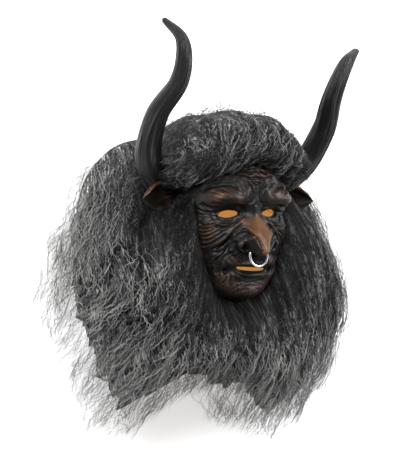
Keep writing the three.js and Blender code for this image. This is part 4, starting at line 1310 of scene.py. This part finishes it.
def hair_strands(field, settings, rng, start, flow, loose, tables):
    """Strands down the fall from their starts, in groups that close in on one another.

    Laid ones follow the first height table. Loose ones lie at a height between both tables, and far to the
    left they stand up from it. A strand drops by no more than 0.9 of each step's run, bows up by its own lift
    and is crimped. Gives the points and each strand's shade, times the hair's painted light and shade where
    it starts.
    """
    kind = LOOSE if loose else LAID
    steps = settings.wisp_steps if loose else settings.steps
    usual_length = settings.wisp_length if loose else settings.length
    group, spread = kind["group"], kind["spread"]
    start = picked(start, len(start) // group)
    count = len(start)
    length = usual_length * 1000 * rng.uniform(0.6, 1.25, count)
    slack = kind["past"] * rng.random(count) ** 2 - kind["short"]

    def limit(path):
        """More than 0 where a strand is too far out."""
        return outside_hair(path) - slack[:, None]

    path, keep = draped(start, length, flow, kind["wander"], rng, steps, limit)
    s = np.linspace(0, 1, steps)[None, :]
    path, keep = np.repeat(path, group, 0), np.repeat(keep, group)
    count = len(path)
    path = path + rng.normal(0, spread, (count, 1, 2)) * (1 - kind["closing"] * s)[..., None]
    path = path + rng.normal(0, spread, (count, 1, 2)) * (0.5 * s * s)[..., None]
    level = np.repeat(rng.random((count // group, 1)), group, 0)
    level = np.clip(level + rng.normal(0, 0.15, (count, 1)), 0, 1)
    level = level if loose else np.ones((count, 1))
    height = level * field.read(tables[0], path) + (1 - level) * field.read(tables[1], path)
    lift = settings.lift * 1000 * rng.random((count, 1)) ** 2
    raise_by = lift * np.sin(np.pi * np.clip(s * 1.1, 0, 1)) ** 0.6
    if loose:
        raise_by = raise_by + LOOSE_RISE * smooth(140, 250, path[..., 0]) * rng.random((count, 1)) ** 1.5
    for k in range(1, steps):
        run = np.linalg.norm(path[:, k] - path[:, k - 1], axis=-1)
        height[:, k] = np.maximum(height[:, k], height[:, k - 1] - 0.9 * run)
    points = np.concatenate([path, (height + raise_by - STRAND_SINK)[..., None]], -1)
    points = crimped(points, field.normal(tables[0], path), rng, settings.crimp * 1000)
    points[..., 2] = np.maximum(points[..., 2], FLOOR_Z + 1.2)
    points = points[keep & off_the_ears(points)]
    shade = strand_shades(rng, len(points), kind["pale"]) * kind["tone"]
    # The shade is multiplied by the hair's painted light and shade where the strand starts.
    return points, shade * hair_light_and_shade(points[:, 0, 0], points[:, 0, 1])


def forelock_strands(settings, rng, count):
    """Strands that run over the roll from behind to the hairline, leaning this way and that.

    Along the top some stand off in a frizz and turn any way. Gives the points and each strand's shade, with
    painted shade towards the back.
    """
    steps = settings.steps
    spread = scattered(rng, count, (-0.94, -55), (0.94, 200))
    v = np.sign(spread[:, 0]) * np.abs(spread[:, 0]) ** 0.85
    angle = np.radians(spread[:, 1])
    length = settings.length * 1000 * rng.uniform(0.5, 1.15, count)
    lean = rng.normal(0, 0.2, count)
    frizz = (np.abs(spread[:, 1] - 95) < 40) & (rng.random(count) < 0.6)
    lift = settings.lift * 1000 * rng.random(count) ** 2 * np.where(frizz, 4.0, 1.0)
    lean = np.where(frizz, rng.normal(0, 1.2, count), lean)
    stride = length / (steps - 1)
    path = np.empty((count, steps, 3))
    for k in range(steps):
        here = forelock_point(v[:, None], angle[:, None])[:, 0]
        path[:, k] = here
        span = np.hypot(FORELOCK_UP * np.cos(angle), FORELOCK_FORWARD * np.sin(angle)) + 12
        bend = lean + 0.3 * cloud(here, 30.0) - FORELOCK_LEAN * v - FORELOCK_COMB
        angle = angle - stride * np.cos(bend) / span
        v = np.clip(v + stride * np.sin(bend) / FORELOCK_HALF_LENGTH, -0.97, 0.97)
    middle = np.empty_like(path)
    middle[..., 0] = path[..., 0]
    middle[..., 1:] = FORELOCK_CENTRE[1:]
    normal = unit((path - middle) * (0.6, 1 / FORELOCK_UP * 60, 1 / FORELOCK_FORWARD * 60))
    s = np.linspace(0, 1, steps)[None, :]
    path = path + normal * (lift[:, None] * np.sin(np.pi * s) ** 0.7 - 2.2)[..., None]
    path = crimped(path, normal, rng, settings.crimp * 1000)
    path = path[(head_inside(path, 0.5) > 1).mean(1) > 0.7]
    # Painted shade: strands that start low, towards the back of the roll, are darker.
    return path, strand_shades(rng, len(path), 0.38) * (1 - 0.35 * smooth(0, -35, path[:, 0, 2] - 60))


def strand_piece(name, points, shade, settings, rng):
    """One piece of strands, each a tube of a few sides."""
    radius = tapered(rng, points.shape[0], points.shape[1], settings.width * 1000)
    vertices, faces = tubes(points, radius, np.array([0.3, 0.1, 1.0]), STRAND_SIDES)
    shades = np.repeat(shade, points.shape[1] * STRAND_SIDES)
    return add_piece(name, vertices, outward(vertices, faces), [strand_material(settings)], (),
                     {"shade": shades})


def mass_pieces(settings):
    """The dense forelock, mane and beard, each with how light it is.

    The forelock has painted shade towards the back of the roll. The others carry the hair's painted light and
    shade, with painted light towards their edges at the right, where the strands are few, and the beard has
    painted shade where it is steep.
    """
    material = mass_material(settings)
    field = HairField()
    for name, node, (vertices, faces, fibre) in (
        ("forelock_mass", "forelock", forelock_surface()),
        ("mane_mass", "mane", mane_surface()),
        ("beard_mass", "beard", beard_solid()),
    ):
        xy = vertices[:, :2]
        if node == "forelock":
            # Painted shade towards the back and underside of the roll
            tone = 0.85 - 0.4 * smooth(0, -35, vertices[:, 2] - 60)
        else:
            # Painted light where the hair thins near its edge at the right
            thin_edge_painted_light = smooth(-70, -38, outside_hair(xy)) * smooth(20, -100, xy[:, 0])
            tone = hair_light_and_shade(xy[:, 0], xy[:, 1]) * (1 + 0.8 * thin_edge_painted_light)
        if node == "beard":
            # Painted shade where the beard is steep
            tone = tone * (0.45 + 0.55 * smooth(0.3, 0.65, field.normal(field.dense, xy)[:, 2]))
        lines = np.column_stack([fibre, np.zeros(len(fibre))])
        add_piece(name, vertices, faces, [material], (node,), {"tone": tone}, {"fibre": lines})


def strand_pieces(settings):
    """All loose strands: over the forelock, then over mane, beard, neck, chin and temples.

    Each piece takes its starts from evenly scattered spots. Wisps start where the full hair is more than 6 mm
    above its dense part, fewer of them near the outline and more on steep hair and far to the left.
    """
    rng = np.random.default_rng(settings.seed)
    field = HairField()
    points, shade = forelock_strands(settings, rng, settings.forelock)
    strand_piece("forelock_strands", points, shade, settings, rng)

    spots = scattered(rng, SPOT_COUNT, SPOTS_LOW, SPOTS_HIGH)
    x, y = spots.T
    mane, beard = (outside_by(spots, outline) for outline in hair_outlines())
    steep = (field.normal(field.dense, spots)[:, 2] < 0.62) | (x > 170)
    thinned = rng.random(len(spots)) < 0.18 + (np.maximum(-mane, -beard) / 46) ** 2 + 0.35 * steep
    bare = field.read(field.loose, spots) - field.read(field.dense, spots) > 6
    over_head = (np.abs(x) < 70) & (y > -100) & (y < 90)
    open_mane = (field.read(field.beard, spots) <= field.read(field.mane, spots)) & ~over_head
    on_beard = beard < 0
    neck = (np.abs(x + 10) < 95) & (beard > -30) & (beard < 2) & (y < -170)
    chin = on_beard & (np.abs(x + 5) < 80) & (np.abs(y + 148) < 52)
    temples = (np.abs(np.abs(x) - 84) < 26) & (np.abs(y - 52) < 30)
    under, over, crown = (field.mane, field.dense_mane), (field.loose, field.dense), (field.crown,) * 2
    wisps = bare & thinned
    for name, chosen, count, flow, loose, tables in (
        ("mane_strands", (mane < 0) & open_mane, settings.mane, MANE_FLOW, False, under),
        ("mane_wisps", (mane < -4) & open_mane & wisps, settings.mane_wisps, MANE_FLOW, True, under),
        ("beard_strands_left", on_beard & (x > 20), settings.beard // 2, BEARD_FLOW, False, over),
        ("beard_strands_right", on_beard & (x <= 20), settings.beard // 2, BEARD_FLOW, False, over),
        ("beard_wisps", (beard < -4) & (y < -40) & wisps, settings.beard_wisps, BEARD_FLOW, True, over),
        ("neck_wisps", neck, settings.beard_wisps // 5, BEARD_FLOW, True, over),
        ("chin_strands", chin, settings.temples // 2, BEARD_FLOW, False, over),
        ("temple_strands", temples, settings.temples, BEARD_FLOW, False, crown),
    ):
        start = picked(spots[chosen], count)
        points, shade = hair_strands(field, settings, rng, start, flow, loose, tables)
        strand_piece(name, points, shade, settings, rng)


# Materials

def begin_material(name):
    """New node material and its shader."""
    material = bpy.data.materials.new(name)
    material.use_nodes = True
    tree = material.node_tree
    return material, tree, tree.nodes["Principled BSDF"]


def fill(tree, node, values):
    """Sets a node's sockets, or links them where the value is another node's socket."""
    for key, value in values.items():
        if isinstance(value, bpy.types.NodeSocket):
            tree.links.new(value, node.inputs[key])
        else:
            node.inputs[key].default_value = value


def add_node(tree, kind, values=None, **settings):
    """Adds a node, sets its options, and fills or links its sockets."""
    node = tree.nodes.new(kind)
    for key, value in settings.items():
        setattr(node, key, value)
    fill(tree, node, values or {})
    return node


def object_place(tree):
    """Object coordinates."""
    return add_node(tree, "ShaderNodeTexCoord").outputs["Object"]


def ramp(tree, source, stops):
    """Colour ramp through (place, colour) stops."""
    node = add_node(tree, "ShaderNodeValToRGB", {0: source})
    elements = node.color_ramp.elements
    while len(elements) < len(stops):
        elements.new(0.5)
    for element, (place, colour) in zip(elements, stops):
        element.position = place
        element.color = (*colour, 1.0)
    return node.outputs["Color"]


def grey(value):
    """A grey colour."""
    return (value, value, value)


def times(colour, share):
    """A colour made darker or lighter."""
    return tuple(share * c for c in colour)


def noise(tree, vector, scale, detail=3.0, rough=0.55):
    """Fractal noise on a vector."""
    values = {"Vector": vector, "Scale": scale, "Detail": detail, "Roughness": rough}
    return add_node(tree, "ShaderNodeTexNoise", values).outputs["Fac"]


def math_node(tree, operation, first, second, clamp=False):
    """One sum on numbers."""
    values = {0: first, 1: second}
    return add_node(tree, "ShaderNodeMath", values, operation=operation, use_clamp=clamp).outputs[0]


def swung(tree, source, amount):
    """How far a noise is from its middle, times an amount."""
    return math_node(tree, "MULTIPLY", math_node(tree, "SUBTRACT", source, 0.5), amount)


def ranged(tree, value, low, high, at_low, at_high):
    """A stretch of values carried onto another one, and held within it."""
    values = {0: value, 1: low, 2: high, 3: at_low, 4: at_high}
    return add_node(tree, "ShaderNodeMapRange", values, clamp=True).outputs[0]


def mix_colour(tree, share, first, second, kind="MIX"):
    """Mix of two colours, each a socket or three numbers."""
    first, second = (c if isinstance(c, bpy.types.NodeSocket) else (*c, 1.0) for c in (first, second))
    node = add_node(tree, "ShaderNodeMix", data_type="RGBA", blend_type=kind)
    fill(tree, node, {0: share, 6: first, 7: second})
    return node.outputs[2]


def attribute(tree, name, output="Fac"):
    """The mesh's own attribute."""
    return add_node(tree, "ShaderNodeAttribute", attribute_name=name).outputs[output]


def bump(tree, shader, height, distance, strength=1.0):
    """Bump from a height in shader units."""
    node = add_node(tree, "ShaderNodeBump", {"Height": height, "Distance": distance, "Strength": strength})
    tree.links.new(node.outputs["Normal"], shader.inputs["Normal"])


def latex_material(settings):
    """Black-brown latex, dry-brushed orange-brown on what stands proud, dull and darker in the creases and
    hollows, where the darker colour is partly paint and partly painted shade.
    """
    material, tree, shader = begin_material("cast_latex")
    place = object_place(tree)
    blotch = noise(tree, place, 60.0, 4.0)
    speck = noise(tree, place, 420.0, 4.0, 0.65)
    proud = attribute(tree, "proud")
    level = math_node(tree, "ADD", proud, swung(tree, blotch, 1.3))
    level = math_node(tree, "ADD", level, swung(tree, speck, 0.5))
    level = math_node(tree, "ADD", level, math_node(tree, "MULTIPLY", attribute(tree, "warm"), 0.9))
    # Darker where proud is low, in creases and hollows: partly paint, partly painted shade.
    painted = ramp(tree, ranged(tree, level, -0.15, 1.35, 0.0, 1.0), [
        (0.0, grey(0.003)), (0.22, settings.dark), (0.55, settings.middle), (1.0, settings.brown),
    ])
    gloss = math_node(tree, "ADD", proud, speck)
    fill(tree, shader, {
        "Base Color": painted, "Roughness": ranged(tree, gloss, -0.2, 1.2, 0.50, 0.36),
        "Specular IOR Level": 0.27,
    })
    cells = {"Vector": place, "Scale": 520.0}
    crumple = add_node(tree, "ShaderNodeTexVoronoi", cells, feature="SMOOTH_F1").outputs["Distance"]
    height = math_node(tree, "ADD", speck, math_node(tree, "MULTIPLY", crumple, 0.5))
    bump(tree, shader, height, 0.0006, 0.55)
    return material


def glowing_lining_material(settings):
    """Bare tan latex inside, made to glow: a painted glow standing in for light that comes through it a
    little.
    """
    material, tree, shader = begin_material("bare_latex_inside")
    place = object_place(tree)
    blotch = math_node(tree, "MULTIPLY", noise(tree, place, 35.0, 3.0), 0.35)
    tone = mix_colour(tree, blotch, settings.inside, times(settings.inside, 0.8))
    # The emission is a painted glow; the lining is no lamp.
    fill(tree, shader, {
        "Base Color": tone, "Emission Color": tone, "Emission Strength": 0.75, "Roughness": 0.6,
    })
    bump(tree, shader, noise(tree, place, 300.0), 0.0004, 0.4)
    return material


def horn_material(settings):
    """Black horn with grey streaks along it and a satin gloss; the streaks are partly grain and partly
    painted highlight on the ridges where the scoring stands proud.
    """
    material, tree, shader = begin_material("grained_horn")
    values = {"Vector": attribute(tree, "fibre", "Vector"), "Scale": (0.36, 0.010, 1.0)}
    stretched = add_node(tree, "ShaderNodeMapping", values).outputs[0]
    grain = noise(tree, stretched, 1.0, 4.0, 0.7)
    # Painted highlight: lighter where the scoring stands proud.
    level = math_node(tree, "ADD", grain, math_node(tree, "MULTIPLY", attribute(tree, "proud"), 0.28))
    tone = ramp(tree, level, [
        (0.38, grey(0.0008)), (0.50, times(settings.colour, 0.5)), (0.64, times(settings.colour, 4.6)),
    ])
    fill(tree, shader, {"Base Color": tone, "Roughness": ranged(tree, grain, 0.3, 0.7, 0.30, 0.48)})
    bump(tree, shader, grain, 0.0040, 1.0)
    return material


def ring_material(settings):
    """Polished metal with faint scratches."""
    material, tree, shader = begin_material("polished_metal")
    scratch = noise(tree, object_place(tree), 900.0, 4.0, 0.7)
    dulled = math_node(tree, "MULTIPLY", scratch, 0.4)
    fill(tree, shader, {
        "Base Color": mix_colour(tree, dulled, settings.colour, times(settings.colour, 0.7)),
        "Metallic": 1.0, "Roughness": ranged(tree, scratch, 0.3, 0.7, 0.12, 0.3),
    })
    bump(tree, shader, scratch, 0.0003, 0.3)
    return material


def mass_material(settings):
    """Dense crimped fibre: wavy streaks of dark and pale grey along the fall, parted by near-black gaps
    that are partly dark fibre and partly painted shade between the fibres.

    Two sets of streaks are shifted sideways by a fine sway, the second one turned a little, and the paler of
    both shows. Wider clumps lighten and darken them. The piece's tone multiplies in painted light and shade.
    """
    material, tree, shader = begin_material("dense_crimped_hair")
    fibre = attribute(tree, "fibre", "Vector")

    def stretched(across, along, start, detail, rough, source):
        """Noise with cells of a width and a length in millimetres, from its own start."""
        placed = add_node(tree, "ShaderNodeMapping", {
            "Vector": source, "Location": (start, start, 0.0), "Scale": (1 / across, 1 / along, 1.0),
        })
        return noise(tree, placed.outputs[0], 1.0, detail, rough)

    sway = swung(tree, stretched(4.0, 2.2, 3.0, 0.0, 0.5, fibre), 4.5)
    shift = add_node(tree, "ShaderNodeCombineXYZ", {0: sway, 1: 0.0, 2: 0.0}).outputs[0]
    moved = add_node(tree, "ShaderNodeVectorMath", {0: fibre, 1: shift}, operation="ADD").outputs[0]
    leant = add_node(tree, "ShaderNodeMapping", {"Vector": moved, "Rotation": (0.0, 0.0, 0.25)}).outputs[0]
    streak = stretched(0.85, 11.0, 0.0, 2.0, 0.6, moved)
    crossing = stretched(0.85, 9.0, 40.0, 2.0, 0.6, leant)
    clump = stretched(7.0, 90.0, 80.0, 2.0, 0.5, fibre)
    level = math_node(tree, "MAXIMUM", streak, math_node(tree, "SUBTRACT", crossing, 0.04))
    level = math_node(tree, "ADD", level, swung(tree, clump, 0.4))
    # The darkest stop is partly dark fibre and partly painted shade in the gaps between fibres.
    tone = ramp(tree, level, [
        (0.50, times(settings.dark, 0.05)), (0.57, times(settings.dark, 0.8)), (0.64, settings.middle),
        (0.71, settings.pale),
    ])
    # The tone attribute multiplies in the hair's painted light and shade.
    tone = mix_colour(tree, 1.0, tone, attribute(tree, "tone"), "MULTIPLY")
    fill(tree, shader, {"Base Color": tone, "Roughness": 0.6, "Specular IOR Level": 0.12})
    bump(tree, shader, level, 0.002, 0.8)
    return material


def strand_material(settings):
    """Fibre from dark to pale by the strand's shade, which carries painted light and shade, mottled along
    it; made once for all strands.
    """
    name = "crimped_strand"
    if name in bpy.data.materials:
        return bpy.data.materials[name]
    material, tree, shader = begin_material(name)
    mottle = noise(tree, object_place(tree), 260.0, 2.0)
    level = math_node(tree, "ADD", attribute(tree, "shade"), swung(tree, mottle, 0.35), True)
    tone = ramp(tree, level, [
        (0.0, times(settings.dark, 0.4)), (0.2, settings.dark), (0.55, settings.middle), (1.0, settings.pale),
    ])
    fill(tree, shader, {"Base Color": tone, "Roughness": 0.5, "Specular IOR Level": 0.2})
    return material


def floor_material(settings):
    """Plain pale paper."""
    material, tree, shader = begin_material("pale_floor")
    stops = [(0.0, times(settings.floor, 0.985)), (1.0, settings.floor)]
    tone = ramp(tree, noise(tree, object_place(tree), 3.0), stops)
    fill(tree, shader, {
        "Base Color": tone, "Emission Color": tone, "Emission Strength": 0.5, "Roughness": 0.9,
    })
    return material


# Stage

def facing_matrix(back, up, place):
    """Matrix of a camera or lamp that looks against back, with up as its top."""
    right = unit(np.cross(up, back))
    top = np.cross(back, right)
    matrix = Matrix.Identity(4)
    for row in range(3):
        matrix[row][0], matrix[row][1], matrix[row][2] = right[row], top[row], back[row]
        matrix[row][3] = place[row]
    return matrix


def add_floor(scene, settings):
    """A wide square at the height that the mask lies on."""
    half = FLOOR_HALF_SIDE
    mesh = bpy.data.meshes.new("floor")
    corners = [(-half, -half, 0), (half, -half, 0), (half, half, 0), (-half, half, 0)]
    mesh.from_pydata(corners, [], [(0, 1, 2, 3)])
    mesh.materials.append(floor_material(settings))
    floor = bpy.data.objects.new("floor", mesh)
    scene.collection.objects.link(floor)


def add_lamp(scene, name, place, size, power):
    """A round soft light that faces the mask."""
    light = bpy.data.lights.new(name, "AREA")
    light.shape = "DISK"
    light.size = size
    light.energy = power
    lamp = bpy.data.objects.new(name, light)
    scene.collection.objects.link(lamp)
    back = unit(np.array(place) - STAGE_TARGET)
    lamp.matrix_world = facing_matrix(back, np.array([0.0, 1.0, 0.0]), place)


def add_sky(scene, settings):
    """Even white light from all round, and colours shown as they are."""
    world = bpy.data.worlds.new("soft_sky")
    world.use_nodes = True
    background = world.node_tree.nodes["Background"]
    fill(world.node_tree, background, {"Color": (1, 1, 1, 1), "Strength": settings.sky})
    scene.world = world
    scene.view_settings.view_transform = "Standard"


def add_camera(scene, settings):
    """The photograph's camera, turned, raised and rolled, at its distance from the head's axis."""
    t, r = settings.turn, settings.rise
    back = np.array([-math.sin(t) * math.cos(r), math.sin(r), math.cos(t) * math.cos(r)])
    right = np.array([math.cos(t), 0.0, math.sin(t)])
    up = math.cos(settings.roll) * np.cross(back, right) - math.sin(settings.roll) * right
    lens = bpy.data.cameras.new("photograph_view")
    longest = max(PICTURE)
    lens.lens = FOCAL_PIXELS / longest * lens.sensor_width
    lens.shift_x = (PICTURE[0] / 2 - EYE_LINE_PIXEL[0]) / longest
    lens.shift_y = (EYE_LINE_PIXEL[1] - PICTURE[1] / 2) / longest
    lens.clip_start = 0.05
    camera = bpy.data.objects.new("photograph_view", lens)
    scene.collection.objects.link(camera)
    camera.matrix_world = facing_matrix(back, up, STAGE_TARGET + back * settings.distance)
    scene.camera = camera


# Settings

def colour_setting(name, description, default):
    """Colour property."""
    return bpy.props.FloatVectorProperty(
        name=name, description=description, default=default, subtype="COLOR", size=3, min=0, max=1,
    )


def length_setting(name, description, default):
    """Length property, in metres."""
    return bpy.props.FloatProperty(
        name=name, description=description, default=default, min=0, unit="LENGTH", subtype="DISTANCE",
        precision=4,
    )


def count_setting(name, description, default, **limits):
    """Whole number property."""
    return bpy.props.IntProperty(name=name, description=description, default=default, **limits)


def steps_setting(name, description, default):
    """Number of points along something."""
    return count_setting(name, description, default, min=4, max=40)


def power_setting(name, description, default):
    """Power of a light, in watts."""
    return bpy.props.FloatProperty(name=name, description=description, default=default, min=0, unit="POWER")


def angle_setting(name, description, degrees):
    """Angle property."""
    return bpy.props.FloatProperty(
        name=name, description=description, default=math.radians(degrees), subtype="ANGLE",
    )


class MaskHeadSettings(bpy.types.PropertyGroup):
    """Cast latex head"""

    wall: length_setting("Wall", "Thickness of the latex", 0.003)
    # The dark paint in the hollows is partly paint and partly painted shade.
    dark: colour_setting("Dark", "Paint in the hollows", (0.0052, 0.0040, 0.0034))
    middle: colour_setting("Middle", "Paint between hollow and ridge", (0.0230, 0.0125, 0.0080))
    brown: colour_setting("Brown", "Dry-brushed paint on what stands proud", (0.125, 0.056, 0.024))
    # Inside is also the colour of the lining's painted glow.
    inside: colour_setting("Inside", "Bare latex inside", (0.42, 0.235, 0.072))


class MaskHornSettings(bpy.types.PropertyGroup):
    """Pair of horns"""

    grain_depth: length_setting("Grain depth", "Depth of the lengthwise scoring", 0.0012)
    colour: colour_setting("Colour", "Horn between its grain lines", (0.0100, 0.0100, 0.0105))


class MaskRingSettings(bpy.types.PropertyGroup):
    """Nose ring"""

    radius: length_setting("Radius", "From the ring's middle to the wire's middle", 0.014)
    wire: length_setting("Wire", "Diameter of the wire", 0.0036)
    colour: colour_setting("Colour", "Metal", (0.86, 0.86, 0.88))


class MaskHairSettings(bpy.types.PropertyGroup):
    """Crimped hair"""

    length: length_setting("Length", "Usual length of a strand's visible run", 0.026)
    wisp_length: length_setting("Wisp length", "Usual length of a loose strand at the edges", 0.060)
    width: length_setting("Width", "Width of a strand", 0.00060)
    crimp: length_setting("Crimp", "Sideways reach of the crimping", 0.0010)
    lift: length_setting("Lift", "How far strands stand off the hair below them", 0.004)
    steps: steps_setting("Steps", "Points along each strand", 9)
    wisp_steps: steps_setting("Wisp steps", "Points along each wisp", 12)
    forelock: count_setting("Forelock", "Strands over the forelock", 2300, min=0)
    mane: count_setting("Mane", "Strands over the mane", 1200, min=0)
    mane_wisps: count_setting("Mane wisps", "Loose strands round the mane", 2600, min=0)
    beard: count_setting("Beard", "Strands over the beard", 2100, min=0)
    beard_wisps: count_setting("Beard wisps", "Loose strands round the beard", 2300, min=0)
    temples: count_setting("Temples", "Strands at the temples; half as many below the chin", 1000, min=0)
    seed: count_setting("Seed", "Start of the random numbers", 5, min=0)
    dark: colour_setting("Dark", "The darkest strands", (0.020, 0.020, 0.0205))
    middle: colour_setting("Middle", "Most strands", (0.125, 0.124, 0.122))
    pale: colour_setting("Pale", "The lightest strands", (0.47, 0.465, 0.455))


class MaskStageSettings(bpy.types.PropertyGroup):
    """Floor, light and camera"""

    floor: colour_setting("Floor", "Plain floor", (0.93, 0.93, 0.93))
    key: power_setting("Key", "Power of the main soft light", 42.0)
    fill: power_setting("Fill", "Power of the fill light", 26.0)
    sky: bpy.props.FloatProperty(name="Sky", description="Strength of the even light", default=0.38, min=0)
    turn: angle_setting("Turn", "Camera's turn towards the mask's right cheek", 33)
    rise: angle_setting("Rise", "Camera's turn towards the crown", 0.5)
    roll: angle_setting("Roll", "Camera's roll", 0.5)
    distance: length_setting("Distance", "From the head's axis to the camera", 1.066)


# Operators

class MASK_OT_head(bpy.types.Operator):
    """Build the latex head with its ears"""

    bl_idname = "mask.head"
    bl_label = "Latex head"

    def execute(self, context):
        shell_piece(context.scene.mask_head)
        return {"FINISHED"}


class MASK_OT_horns(bpy.types.Operator):
    """Build both horns"""

    bl_idname = "mask.horns"
    bl_label = "Horns"

    def execute(self, context):
        settings = context.scene.mask_horns
        horn_piece("horn_left_grained", "horn_left", 1, settings)
        horn_piece("horn_right_grained", "horn_right", -1, settings)
        return {"FINISHED"}


class MASK_OT_ring(bpy.types.Operator):
    """Build the nose ring"""

    bl_idname = "mask.ring"
    bl_label = "Nose ring"

    def execute(self, context):
        ring_piece(context.scene.mask_ring)
        return {"FINISHED"}


class MASK_OT_hair_masses(bpy.types.Operator):
    """Build the dense hair of forelock, mane and beard"""

    bl_idname = "mask.hair_masses"
    bl_label = "Hair masses"

    def execute(self, context):
        mass_pieces(context.scene.mask_hair)
        return {"FINISHED"}


class MASK_OT_hair_strands(bpy.types.Operator):
    """Build the crimped strands and wisps over the dense hair"""

    bl_idname = "mask.hair_strands"
    bl_label = "Hair strands"

    def execute(self, context):
        strand_pieces(context.scene.mask_hair)
        return {"FINISHED"}


class MASK_OT_stage(bpy.types.Operator):
    """Set the floor, the soft lights and the camera"""

    bl_idname = "mask.stage"
    bl_label = "Stage"

    def execute(self, context):
        scene = context.scene
        settings = scene.mask_stage
        add_floor(scene, settings)
        add_lamp(scene, "key", KEY_PLACE, KEY_SIZE, settings.key)
        add_lamp(scene, "fill", FILL_PLACE, FILL_SIZE, settings.fill)
        add_sky(scene, settings)
        add_camera(scene, settings)
        return {"FINISHED"}


class MASK_PT_panel(bpy.types.Panel):
    """Sizes and colours of the mask"""

    bl_idname = "MASK_PT_panel"
    bl_label = "Horned mask"
    bl_space_type = "VIEW_3D"
    bl_region_type = "UI"
    bl_category = "Mask"

    def draw(self, context):
        for name, operators in PANEL_ROWS:
            settings = getattr(context.scene, name)
            box = self.layout.box()
            for key in settings.__annotations__:
                box.prop(settings, key)
            for operator in operators:
                box.operator(operator)


GROUPS = (
    ("mask_head", MaskHeadSettings),
    ("mask_horns", MaskHornSettings),
    ("mask_ring", MaskRingSettings),
    ("mask_hair", MaskHairSettings),
    ("mask_stage", MaskStageSettings),
)
PANEL_ROWS = (
    ("mask_head", ("mask.head",)),
    ("mask_horns", ("mask.horns",)),
    ("mask_ring", ("mask.ring",)),
    ("mask_hair", ("mask.hair_masses", "mask.hair_strands")),
    ("mask_stage", ("mask.stage",)),
)
OPERATORS = (
    MASK_OT_head, MASK_OT_horns, MASK_OT_ring, MASK_OT_hair_masses, MASK_OT_hair_strands, MASK_OT_stage,
)


def register():
    """Registers the settings, operators and panel."""
    for name, group in GROUPS:
        bpy.utils.register_class(group)
        setattr(bpy.types.Scene, name, bpy.props.PointerProperty(type=group))
    for operator in OPERATORS:
        bpy.utils.register_class(operator)
    bpy.utils.register_class(MASK_PT_panel)


def unregister():
    """Takes them away again."""
    bpy.utils.unregister_class(MASK_PT_panel)
    for operator in reversed(OPERATORS):
        bpy.utils.unregister_class(operator)
    for name, group in reversed(GROUPS):
        delattr(bpy.types.Scene, name)
        bpy.utils.unregister_class(group)


def main():
    """Builds every piece and the stage."""
    register()
    bpy.ops.mask.stage()
    bpy.ops.mask.head()
    bpy.ops.mask.horns()
    bpy.ops.mask.ring()
    bpy.ops.mask.hair_masses()
    bpy.ops.mask.hair_strands()


if __name__ == "__main__":
    main()
